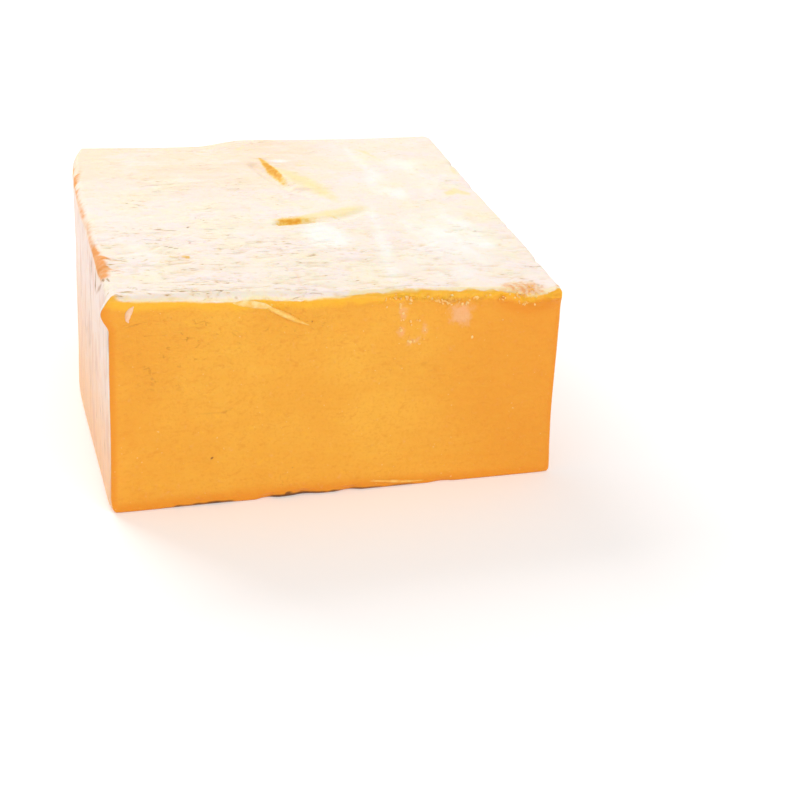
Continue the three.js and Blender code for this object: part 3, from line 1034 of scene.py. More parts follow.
@dataclass
class SurfaceMarks:
    """Everything that tells one place of the surface from another, in the block's own frame."""

    border: RindBorder = field(default_factory=RindBorder)
    strip: EdgeStrip = field(default_factory=EdgeStrip)
    top: TopMarks = TopMarks()
    cut: CutMarks = CutMarks()
    cracks: tuple[Run, ...] = (
        Run(((-87, 89.6, 1.2, 0.8), (-80, 85.8, 1.6, 0.9), (-71, 81, 1.6, 0.7), (-62, 77, 1.4, 0.3))),
        Run(((-66, 86.5, 2.4, 1), (-60, 78.5, 2.4, 0.9))),
        Run(((-46, 89, 2.2, 0.3), (-44, 82, 2.6, 0.7), (-42, 76, 2.2, 0.4))),
        Run(((-98, 84, 1.2, 0.4), (-97, 80, 1.2, 0.4))),
    )
    grainy: Patch = Patch(76.0, -106.0, 15.0, 12.0, 1.2)
    grainy_height: float = 80.0
    grainy_reach: float = 8.0
    # Depth below the top of the rim where painted light whitens the rind on the cut.
    painted_light_rim_reach: float = 8.0

    def fields(self, form: BlockForm, flat: Places, at: Places, cover: np.ndarray) -> dict[str, np.ndarray]:
        """Work out every mark at the block's points.

        Args:
            form: the block's form.
            flat: points of the rounded block.
            at: the same points, settled.
            cover: how much rind covers each point.

        Returns:
            A value for each point under each mark's name.
        """
        level = smoothstep(form.height - 4.0, form.height - 2.0, flat.z)
        side = 1.0 - level
        on_cut = form.on_cut(flat)
        on_left = side * (flat.x < FACE_REACH - form.width / 2)
        # Painted highlight: a white line down the front edge of the left side. Painted light: whiter rind
        # over the rim of the cut.
        painted_highlight_edge = side * (1.0 - smoothstep(0.5, 5.0, flat.y + form.depth / 2))
        painted_highlight_edge = painted_highlight_edge * smoothstep(4.0, 30.0, flat.z)
        rim = form.height - self.painted_light_rim_reach
        painted_light_by_rim = on_cut * side * smoothstep(rim, rim + 4.0, flat.z)
        up = np.abs(at.z - self.grainy_height) / self.grainy_reach
        top = {
            name: level * total(getattr(self.top, name), at.x, at.y)
            for name in ("worn", "bare", "strokes", "oily", "chalk_and_highlight")
        }
        cut = {
            name: on_cut * total(getattr(self.cut, name), at.x, at.z)
            for name in ("graze", "crumbly", "scarred", "pits", "scores")
        }
        creased = (0.55 + 0.45 * smoothstep(0.0, 75.0, -at.y)) * (1.0 - 0.5 * smoothstep(0.0, 60.0, at.x))
        creamy = smoothstep(-25.0, 90.0, at.y) * (1.0 - 0.75 * smoothstep(5.0, 45.0, at.x))
        marks = {
            **top,
            **cut,
            "cover": cover,
            "level": level,
            "side": side,
            "warmth": side * (1.0 - flat.z / form.height),
            # The orange strip along the left edge of the top goes into the same mark as the top's worn
            # places.
            "worn": top["worn"] + self.strip.at(form, flat),
            # The top's chalky white patches, with the painted highlight and the painted light added.
            "chalk_and_highlight": top["chalk_and_highlight"] + 0.6 * painted_highlight_edge + 0.9 * painted_light_by_rim,
            "strokes": top["strokes"] + on_left * total(self.cracks, at.y, at.z),
            "creased": level * creased,
            "creamy": level * creamy,
            "grainy": self.grainy.at(at.x, at.y) * hump(up),
            "scarred": cut["scarred"] + 0.3 * on_cut,
            "golden": on_cut * self.border.golden(form, flat),
            "seam": on_cut * self.border.seam(form, flat),
            "deeper_orange_and_painted_shade": on_cut * self.cut.deeper_orange_and_painted_shade(form, flat, at),
        }
        return {name: np.clip(value, 0.0, 1.0) for name, value in marks.items()}


@dataclass(frozen=True)
class Bend:
    """Places pushed about by up to the reach, in a pattern of the size, both in millimetres."""

    size: float
    reach: float

    def draw(self, layers: "Layers") -> bpy.types.NodeSocket:
        """Draw the pushed places."""
        push = add_node(layers.tree, "ShaderNodeTexNoise", {
            "Vector": layers.place, "Scale": 1 / (self.size * MM), "Detail": 2.0,
        })
        centred = add_node(layers.tree, "ShaderNodeVectorMath", {
            0: push.outputs["Color"], 1: (0.5, 0.5, 0.5),
        }, operation="SUBTRACT")
        return add_node(layers.tree, "ShaderNodeVectorMath", {
            0: centred.outputs[0], 1: (4 * self.reach * MM,) * 3, 2: layers.place,
        }, operation="MULTIPLY_ADD").outputs[0]


@dataclass(frozen=True)
class Grain:
    """A noise of one size, or one along each direction, in millimetres, or thin lines at its middle value."""

    size: float | tuple[float, float, float]
    detail: float = 3.0
    bend: Bend | None = None
    line: float = 0.0
    roughness: float = 0.55

    def draw(self, layers: "Layers") -> bpy.types.NodeSocket:
        """Draw the grain, whose line value is how far a line reaches in the noise's range."""
        sizes = self.size if isinstance(self.size, tuple) else (self.size,) * 3
        stretched = add_node(layers.tree, "ShaderNodeMapping", {
            "Vector": layers.draw(self.bend) if self.bend else layers.place,
            "Scale": tuple(1 / (length * MM) for length in sizes),
        })
        noise = add_node(layers.tree, "ShaderNodeTexNoise", {
            "Vector": stretched.outputs[0], "Scale": 1.0, "Detail": self.detail, "Roughness": self.roughness,
        }).outputs["Fac"]
        if not self.line:
            return noise
        level = add_node(layers.tree, "ShaderNodeMath", {0: noise, 1: 0.5}, operation="SUBTRACT")
        away = add_node(layers.tree, "ShaderNodeMath", {0: level.outputs[0]}, operation="ABSOLUTE")
        return add_node(layers.tree, "ShaderNodeMapRange", {
            "Value": away.outputs[0], "From Min": self.line, "From Max": 0.0,
        }, interpolation_type="SMOOTHSTEP").outputs[0]


@dataclass(frozen=True)
class Spots:
    """Where a grain passes from low to high, smoothly or evenly."""

    grain: Grain
    low: float
    high: float
    smooth: bool = True

    def draw(self, layers: "Layers") -> bpy.types.NodeSocket:
        """Draw the spots."""
        return add_node(layers.tree, "ShaderNodeMapRange", {
            "Value": layers.draw(self.grain), "From Min": self.low, "From Max": self.high,
        }, interpolation_type="SMOOTHSTEP" if self.smooth else "LINEAR").outputs[0]


@dataclass(frozen=True)
class Mark:
    """One of the block's marks, plain, or from low to high with its edge moved by so much of a grain."""

    name: str
    grain: Grain | None = None
    much: float = 0.0
    low: float = 0.0
    high: float = 1.0

    def draw(self, layers: "Layers") -> bpy.types.NodeSocket:
        """Draw the mark."""
        plain = add_node(layers.tree, "ShaderNodeAttribute", attribute_name=self.name).outputs["Fac"]
        if self.grain is None:
            return plain
        moved = add_node(layers.tree, "ShaderNodeMath", {
            0: layers.draw(self.grain), 1: self.much, 2: plain,
        }, operation="MULTIPLY_ADD")
        return add_node(layers.tree, "ShaderNodeMapRange", {
            "Value": moved.outputs[0],
            "From Min": self.low + self.much / 2,
            "From Max": self.high + self.much / 2,
        }, interpolation_type="SMOOTHSTEP").outputs[0]


Mask = Grain | Spots | Mark


@dataclass(frozen=True)
class Coat:
    """One colour over what lies below it, by its masks times the most, with tints laid on it first."""

    colour: str
    masks: tuple[Mask, ...] = ()
    most: float = 1.0
    tints: tuple["Coat", ...] = ()


@dataclass(frozen=True)
class Relief:
    """Height in millimetres that goes with the product of the masks."""

    height: float
    masks: tuple[Mask, ...]


class Layers:
    """One material of coats and reliefs laid over one another, each grain and mark drawn once."""

    def __init__(self, name: str) -> None:
        """Start the material.

        Args:
            name: the material's name.
        """
        self.material = bpy.data.materials.new(name)
        self.material.use_nodes = True
        self.tree = self.material.node_tree
        self.tree.nodes.clear()
        self.place = add_node(self.tree, "ShaderNodeTexCoord").outputs["Object"]
        self.drawn: dict[Bend | Mask, bpy.types.NodeSocket] = {}

    def draw(self, pattern: Bend | Mask) -> bpy.types.NodeSocket:
        """Draw a pattern, or give the one that is drawn already."""
        if pattern not in self.drawn:
            self.drawn[pattern] = pattern.draw(self)
        return self.drawn[pattern]

    def product(self, masks: tuple[Mask, ...], most: float = 1.0) -> bpy.types.NodeSocket:
        """Multiply masks with one another and with the most.

        Args:
            masks: the masks.
            most: value where all of them are 1.

        Returns:
            Socket with the product.
        """
        share, *factors = [self.draw(mask) for mask in masks]
        if most != 1.0:
            factors.append(most)
        for factor in factors:
            step = add_node(self.tree, "ShaderNodeMath", {0: share, 1: factor}, operation="MULTIPLY")
            share = step.outputs[0]
        return share

    def colour(self, coats: tuple[Coat, ...]) -> bpy.types.NodeSocket | tuple[float, ...]:
        """Lay coats over one another, the first at the bottom.

        Args:
            coats: the coats.

        Returns:
            Socket with the colour, or its linear values where there is one coat.
        """
        colour = linear(coats[0].colour)
        for coat in coats[1:]:
            over = self.colour((Coat(coat.colour), *coat.tints))
            colour = add_node(self.tree, "ShaderNodeMix", {
                0: self.product(coat.masks, coat.most), 6: colour, 7: over,
            }, data_type="RGBA").outputs[2]
        return colour

    def height(self, reliefs: tuple[Relief, ...]) -> bpy.types.NodeSocket:
        """Add reliefs up.

        Args:
            reliefs: the reliefs.

        Returns:
            Socket with the height in millimetres.
        """
        height = 0.0
        for relief in reliefs:
            height = add_node(self.tree, "ShaderNodeMath", {
                0: self.product(relief.masks), 1: relief.height, 2: height,
            }, operation="MULTIPLY_ADD").outputs[0]
        return height

    def close(
        self,
        colour: bpy.types.NodeSocket,
        height: bpy.types.NodeSocket,
        glow: float,
        glow_depth: float,
        inputs: dict[str, bpy.types.NodeSocket | float],
    ) -> bpy.types.Material:
        """Finish the material, with light that enters it and leaves it redder a little way off.

        Args:
            colour: socket with the colour.
            height: socket with the height in millimetres.
            glow: share of the light that enters.
            glow_depth: how far red light comes, in millimetres.
            inputs: the surface's further inputs.

        Returns:
            The material.
        """
        # Light that comes out again softens the edges, as it does in butter and wax.
        bump = add_node(self.tree, "ShaderNodeBump", {"Height": height, "Strength": 1.0, "Distance": MM})
        surface = add_node(self.tree, "ShaderNodeBsdfPrincipled", {
            "Base Color": colour,
            "Normal": bump.outputs[0],
            "Subsurface Weight": glow,
            "Subsurface Radius": (1.0, 0.5, 0.18),
            "Subsurface Scale": glow_depth * MM,
            **inputs,
        })
        add_node(self.tree, "ShaderNodeOutputMaterial", {"Surface": surface.outputs[0]})
        return self.material


@dataclass(frozen=True)
class PasteFinish:
    """Cut paste of a firm, annatto-coloured cheese: smooth, faintly greasy, and lit a little way in."""

    roughness: float = 0.42
    ior: float = 1.45
    deep: str = "#F4AB2E"
    light: str = "#F9B638"
    # Yellower paste, and under the border also a painted highlight on the lip.
    golden: str = "#FDBA26"
    # Cream-yellow where the rind fades into the paste, partly painted light on the shaded edge of the rind.
    seam: str = "#FFE6A6"
    # Deeper orange by the edges and the base, and painted shade on the rest of the cut.
    deeper_orange_and_painted_shade: str = "#EE9512"
    graze: str = "#F7B678"
    crumb: str = "#FFD37C"
    flaw: str = "#E8941E"
    # Colour of scars and scores, and of painted shade in the hollows among the crumbs.
    scar_and_hollow_shade: str = "#D08A22"
    speck: str = "#FFD98C"
    pit: str = "#A8611A"
    # Near black of the bevel under the torn edge: painted shade.
    under: str = "#421A00"
    mottle: Grain = Grain(38.0, 4.0)
    fine: Grain = Grain(2.6, 4.0)
    curd: Grain = Grain(1.3)
    flaws: Grain = Grain((3.6, 3.6, 1.7), 4.0, Bend(12.0, 1.5))
    scar_lines: Grain = Grain((6.0, 6.0, 2.8), 2.0, Bend(12.0, 1.5), line=0.03)
    scar_parts: Grain = Grain(3.4, 2.0)
    smears: Grain = Grain((16.0, 16.0, 3.5), 5.0)
    smear_folds: Grain = Grain((16.0, 16.0, 3.5), 5.0, Bend(12.0, 1.5))
    specks: Grain = Grain(1.5, 1.0)

    def masks(self) -> dict[str, tuple[Mask, ...]]:
        """Name the masks that both colour and relief use."""
        scarred = Mark("scarred", self.fine, 1.0, 0.2, 1.0)
        return {
            "scarred": (scarred, self.flaws),
            "scars": (self.scar_lines, Spots(self.scar_parts, 0.54, 0.64), scarred),
            "crumbs": (Mark("crumbly", self.curd, 2.2, 0.75, 1.15),),
            "scores": (Mark("scores", self.fine, 0.3, 0.1, 0.7),),
            "pits": (Mark("pits", self.fine, 0.3, 0.25, 0.9),),
        }

    def coats(self) -> tuple[Coat, ...]:
        """List the coats of colour, from the bottom up."""
        masks = self.masks()
        # Slow drifts of tone keep the wide cut from looking painted, and small marks show how the wire went.
        return (
            Coat(self.deep),
            Coat(self.light, (Spots(self.mottle, 0.35, 0.65),)),
            Coat(self.flaw, (Spots(self.flaws, 0.44, 0.3),), 0.5),
            Coat(self.golden, (Spots(self.flaws, 0.56, 0.72),), 0.4),
            Coat(self.flaw, (Spots(self.curd, 0.5, 0.34),), 0.35),
            Coat(self.scar_and_hollow_shade, masks["scars"], 0.5),
            # Painted shade in the hollows among the crumbs.
            Coat(self.scar_and_hollow_shade, (Mark("crumbly", self.curd, -2.2, 0.8, 1.3),), 0.6),
            Coat(self.crumb, masks["crumbs"], 0.6),
            Coat(self.deep, (Spots(self.smears, 0.3, 0.7),), 0.5),
            # Painted shade towards the right, at the left and under the lump, and deeper orange by the edges.
            Coat(self.deeper_orange_and_painted_shade, (Mark("deeper_orange_and_painted_shade", self.fine, 0.3, 0.0, 1.1),)),
            Coat(self.graze, (Mark("graze", self.fine, 1.6, 0.15, 0.95),)),
            # Yellower band under the border, with a painted highlight on the raised lip.
            Coat(self.golden, (Mark("golden", self.fine, 0.5, 0.1, 0.95),)),
            Coat(self.speck, (Spots(self.specks, 0.74, 0.8),), 0.5),
            Coat(self.scar_and_hollow_shade, masks["scores"], 0.45),
            Coat(self.pit, masks["pits"]),
            # Painted shade on the bevel under the torn lower edge.
            Coat(self.under, (Mark("under"),), 0.85),
        )

    def reliefs(self) -> tuple[Relief, ...]:
        """List the reliefs."""
        masks = self.masks()
        return (
            Relief(0.7, (self.smear_folds,)),
            Relief(0.15, (self.curd,)),
            Relief(0.25, masks["crumbs"]),
            Relief(-0.25, masks["scars"]),
            Relief(0.5, masks["scarred"]),
            Relief(0.5, (Mark("graze"), self.fine)),
            Relief(-0.4, masks["pits"]),
            Relief(-0.3, masks["scores"]),
        )


@dataclass(frozen=True)
class RindFinish:
    """Thin natural rind: dusty and near white, wrinkled, with cream, pink and butter-yellow areas in it."""

    roughness: float = 0.78
    cream: str = "#FCECDC"
    blush: str = "#FDECE4"
    butter: str = "#FDEFD4"
    # White of the chalky patches, also used as painted highlight and painted light by the cut.
    chalk_and_highlight_white: str = "#FFFEF6"
    flank: str = "#FBE6DB"
    peach: str = "#FBC79A"
    streak: str = "#E9B9A0"
    groove: str = "#C29682"
    dash: str = "#C9A873"
    halo: str = "#FBE0BC"
    # Painted shade in the valleys of the wrinkles.
    painted_valley_shade: str = "#EBCFA8"
    crease: str = "#CDA873"
    creamy: str = "#FBE2C7"
    grain: str = "#F9C99C"
    grain_dark: str = "#F2AE70"
    grain_light: str = "#FFE6C0"
    stroke: str = "#AE7C38"
    worn_light: str = "#F8C8A0"
    worn: str = "#EF9A44"
    bare_light: str = "#FACF66"
    bare: str = "#EEA21C"
    oil: str = "#FCE7AE"
    tones: Grain = Grain((22.0, 26.0, 24.0), 4.0)
    blushes: Grain = Grain((18.0, 16.0, 18.0), 5.0)
    blots: Grain = Grain((16.0, 9.0, 16.0), 4.0)
    patches: Grain = Grain(9.0, 4.0)
    pleats: Grain = Grain((8.0, 8.0, 24.0), 4.0)
    groove_lines: Grain = Grain((4.5, 4.5, 55.0), 2.0, line=0.024)
    groove_parts: Grain = Grain((8.0, 8.0, 30.0))
    crease_areas: Grain = Grain(22.0)
    crease_lines: Grain = Grain((30.0, 4.4, 15.0), 2.0, Bend(11.0, 1.6), line=0.02)
    crease_parts: Grain = Grain((7.0, 3.4, 7.0))
    dashes: Grain = Grain((5.5, 1.7, 5.5), 3.0, Bend(11.0, 1.6))
    wrinkles: Grain = Grain((10.0, 4.4, 4.4), 4.0, Bend(26.0, 4.0))
    oil_edge: Grain = Grain(5.0, 4.0)
    chalk_edge: Grain = Grain((9.0, 17.0, 12.0), 3.5)
    small: Grain = Grain(2.6, 4.0)
    grit: Grain = Grain(2.2)
    dust: Grain = Grain(0.8)

    def masks(self) -> dict[str, tuple[Mask, ...]]:
        """Name the masks that more than one coat or relief uses."""
        creased = Mark("creased", self.crease_areas, 3.0, 0.3, 1.15)
        return {
            "grooves": (self.groove_lines, Spots(self.groove_parts, 0.44, 0.62), Mark("side")),
            "creamy": (Mark("creamy", self.patches, 1.0, 0.0, 1.05),),
            "creased": (creased,),
            "dashes": (Spots(self.dashes, 0.36, 0.28), creased),
            "creases": (self.crease_lines, Spots(self.crease_parts, 0.5, 0.62), creased),
            "strokes": (Mark("strokes", self.small, 0.5, 0.15, 0.9),),
            "grainy": (Mark("grainy", self.small, 0.6, 0.1, 0.7),),
        }

    def coats(self) -> tuple[Coat, ...]:
        """List the coats of colour, from the bottom up."""
        masks = self.masks()
        # Warm patches under a dusty white make it look dry, and worn edges show the paste below.
        return (
            Coat(self.cream),
            Coat(self.butter, (Spots(self.tones, 0.42, 0.62),), 0.8),
            Coat(self.blush, (Spots(self.blushes, 0.44, 0.62),), 0.9),
            Coat(self.flank, (Mark("side"),)),
            Coat(self.peach, (Mark("warmth", self.patches, 0.5, 0.1, 1.0),)),
            Coat(self.streak, (Spots(self.pleats, 0.47, 0.38), Mark("side")), 0.45),
            Coat(self.groove, masks["grooves"], 0.66),
            Coat(self.creamy, masks["creamy"]),
            Coat(self.blush, (Spots(self.blots, 0.5, 0.66), *masks["creamy"]), 0.5),
            Coat(self.halo, (Spots(self.dashes, 0.46, 0.34), *masks["creased"]), 0.85),
            Coat(self.dash, masks["dashes"]),
            Coat(self.crease, masks["creases"], 0.75),
            Coat(self.oil, (Mark("oily", self.oil_edge, 0.8, 0.05, 1.15),)),
            Coat(self.bare_light, (Mark("bare", self.small, 1.3, 0.05, 0.75),), tints=(
                Coat(self.bare, (Mark("bare", self.small, 1.8, 0.45, 1.15),)),
            )),
            # Chalky white patches, and painted highlight and painted light along the cut's edges.
            Coat(self.chalk_and_highlight_white, (Mark("chalk_and_highlight", self.chalk_edge, 1.3, 0.1, 1.35),)),
            Coat(self.worn_light, (Mark("worn", self.small, 0.7, 0.0, 1.0),), tints=(
                Coat(self.worn, (Mark("worn", self.small, 0.8, 0.4, 1.1),)),
            )),
            Coat(self.stroke, masks["strokes"], 0.9),
            # Painted shade that darkens the valleys of the mesh's wrinkles.
            Coat(self.painted_valley_shade, (Mark("valleys", self.small, 0.8, 0.2, 1.1),), 0.45),
            Coat(self.grain, masks["grainy"], tints=(
                Coat(self.grain_dark, (Spots(self.grit, 0.5, 0.36),)),
                Coat(self.grain_light, (Spots(self.grit, 0.53, 0.64),)),
            )),
        )

    def reliefs(self) -> tuple[Relief, ...]:
        """List the reliefs: wrinkles on the top, pleats on the sides, and the marks on both."""
        masks = self.masks()
        return (
            Relief(0.44, (self.wrinkles, Mark("level"))),
            Relief(0.77, (self.wrinkles, Mark("level"), *masks["creased"])),
            Relief(0.9, (self.pleats, Mark("side"))),
            Relief(0.06, (self.dust,)),
            Relief(-0.25, masks["dashes"]),
            Relief(-0.25, masks["creases"]),
            Relief(-0.198, masks["grooves"]),
            Relief(0.7, (self.grit, *masks["grainy"])),
            Relief(-0.3, masks["strokes"]),
        )


@dataclass(frozen=True)
class CheeseSkin:
    """Material of the block: paste where the rind is cut away, rind over it elsewhere."""

    paste: PasteFinish = PasteFinish()
    rind: RindFinish = RindFinish()
    cover: Mark = Mark("cover", Grain(1.6, 2.0), 0.35, 0.15, 0.85)
    # The border's fade, partly painted light where the rind turns down over the cut.
    seam: Mark = Mark("seam", Grain(2.6, 2.0), 0.5, 0.1, 1.2)
    glow: float = 0.25
    glow_depth: float = 3.0

    def build(self) -> bpy.types.Material:
        """Build the material.

        Returns:
            The material, named for the cheese's rind and paste.
        """
        layers = Layers("rind_over_paste")
        cover = layers.draw(self.cover)
        colour = add_node(layers.tree, "ShaderNodeMix", {
            0: cover, 6: layers.colour(self.paste.coats()), 7: layers.colour(self.rind.coats()),
        }, data_type="RGBA")
        # The border's fade, partly painted light over the shade of the rind's edge.
        colour = add_node(layers.tree, "ShaderNodeMix", {
            0: layers.draw(self.seam), 6: colour.outputs[2], 7: linear(self.paste.seam),
        }, data_type="RGBA")
        rough = add_node(layers.tree, "ShaderNodeMix", {
            0: cover, 2: self.paste.roughness, 3: self.rind.roughness,
        })
        height = add_node(layers.tree, "ShaderNodeMix", {
            0: cover, 2: layers.height(self.paste.reliefs()), 3: layers.height(self.rind.reliefs()),
        })
        return layers.close(colour.outputs[2], height.outputs[0], self.glow, self.glow_depth, {
            "Roughness": rough.outputs[0], "IOR": self.paste.ior,
        })


@dataclass(frozen=True)
class ScrapFinish:
    """Loose crumbs and drawn scraps of paste, lighter than the cut where they have dried."""

    name: str
    colour: str
    light: str
    roughness: float = 0.5
    tone: Grain = Grain(2.2, roughness=0.5)
    tone_height: float = 0.2
    glow: float = 0.1
    glow_depth: float = 1.5

    def build(self) -> bpy.types.Material:
        """Build the material."""
        layers = Layers(self.name)
        lighter = Coat(self.light, (Spots(self.tone, 0.35, 0.65, smooth=False),))
        colour = layers.colour((Coat(self.colour), lighter))
        height = layers.height((Relief(self.tone_height, (self.tone,)),))
        return layers.close(colour, height, self.glow, self.glow_depth, {"Roughness": self.roughness})


class CutFace:
    """The finished cut face, which says where its surface is."""

    # Faces whose middle lies further forward than this, in metres, belong to the cut.
    behind = -0.09

    def __init__(self, block: bpy.types.Object, shift: float) -> None:
        """Keep the block's faces.

        Args:
            block: the finished block.
            shift: move in millimetres along X from the block's own frame to the shared one.
        """
        mesh = block.data
        points = [tuple(vertex.co / MM) for vertex in mesh.vertices]
        front = [tuple(face.vertices) for face in mesh.polygons if face.center.y < self.behind]
        self.shift = shift
        self.tree = BVHTree.FromPolygons(points, front)

    def at(self, x: float, z: float) -> float | None:
        """Give the surface's place along Y.

        Args:
            x: place along X in the block's own frame.
            z: height.

        Returns:
            The place in millimetres, or nothing above and beside the face.
        """
        hit = self.tree.ray_cast(Vector((x + self.shift, -200.0, z)), Vector((0.0, 1.0, 0.0)))
        return None if hit[0] is None else hit[0].y


@dataclass
class Smear:
    """A ribbon of paste that the wire drew over the face: each stop is (x, z, half width, height)."""

    name: str
    stops: tuple[tuple[float, float, float, float], ...]
    finish: ScrapFinish
    sections: int = 44
    across: int = 8
    sink: float = 0.5
    edge_sink: float = 0.12
    raggedness: float = 0.2
    unevenness: float = 0.1
    least_width: float = 0.25
    seed: int = 3

    def path(self) -> np.ndarray:
        """Space the sections evenly along the stops."""
        stops = np.array(self.stops)
        steps = np.hypot(*np.diff(stops[:, :2], axis=0).T)
        length = np.concatenate([[0.0], np.cumsum(steps)])
        places = np.linspace(0.0, length[-1], self.sections)
        return np.stack([np.interp(places, length, stops[:, k]) for k in range(4)], axis=1)

    def points(self, face: CutFace) -> np.ndarray:
        """Place the points of all the sections: over the ribbon's back, then under it.

        Args:
            face: the face that it lies on.

        Returns:
            One row of three for each point, in millimetres.
        """
        path = self.path()
        noise = Noise(self.seed)
        tangent = np.gradient(path[:, :2], axis=0)
        tangent /= np.hypot(tangent[:, 0], tangent[:, 1])[:, None]
        normal = np.stack([-tangent[:, 1], tangent[:, 0]], axis=1)
        end = np.sin(np.linspace(0.0, math.pi, self.sections)) ** 0.5
        width = (1.0 + self.raggedness * noise.at(np.arange(self.sections) / 6.0, 0.5))
        width = path[:, 2] * width * np.maximum(end, self.least_width)
        spread = np.linspace(-1.0, 1.0, self.across + 1)
        points = []
        for number, (x, z, _, height) in enumerate(path):
            places = np.array([(x, z)]) + np.outer(spread * width[number], normal[number])
            depths = [face.at(*place) or face.at(x, z - 0.5) or 0.0 for place in places]
            bumps = 1.0 + self.unevenness * noise.at(places[:, 0] / 1.1, places[:, 1] / 1.1)
            rise = height * end[number] * (1.0 - spread ** 2) ** 0.7 * bumps - self.edge_sink
            top = [(px + face.shift, depth - up, pz) for (px, pz), depth, up in zip(places, depths, rise)]
            under = [(px, depth + self.sink, pz) for (px, _, pz), depth in zip(top[1:-1], depths[1:-1])]
            points += top + under[::-1]
        return np.array(points)

    def build(self, face: CutFace) -> bpy.types.Object:
        """Build and dress the ribbon on the face.

        Args:
            face: the face that it lies on.

        Returns:
            The finished piece.
        """
        around, last = 2 * self.across, self.sections - 1
        faces = [
            (k + i, k + (i + 1) % around, k + around + (i + 1) % around, k + around + i)
            for k in range(0, last * around, around) for i in range(around)
        ]
        faces += [tuple(range(around))[::-1], tuple(last * around + i for i in range(around))]
        piece = mesh_piece(self.name, self.points(face), faces)
        shape = bmesh.new()
        shape.from_mesh(piece.data)
        bmesh.ops.recalc_face_normals(shape, faces=shape.faces)
        shape.to_mesh(piece.data)
        shape.free()
        piece.data.materials.append(self.finish.build())
        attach(piece, BODY)
        return piece


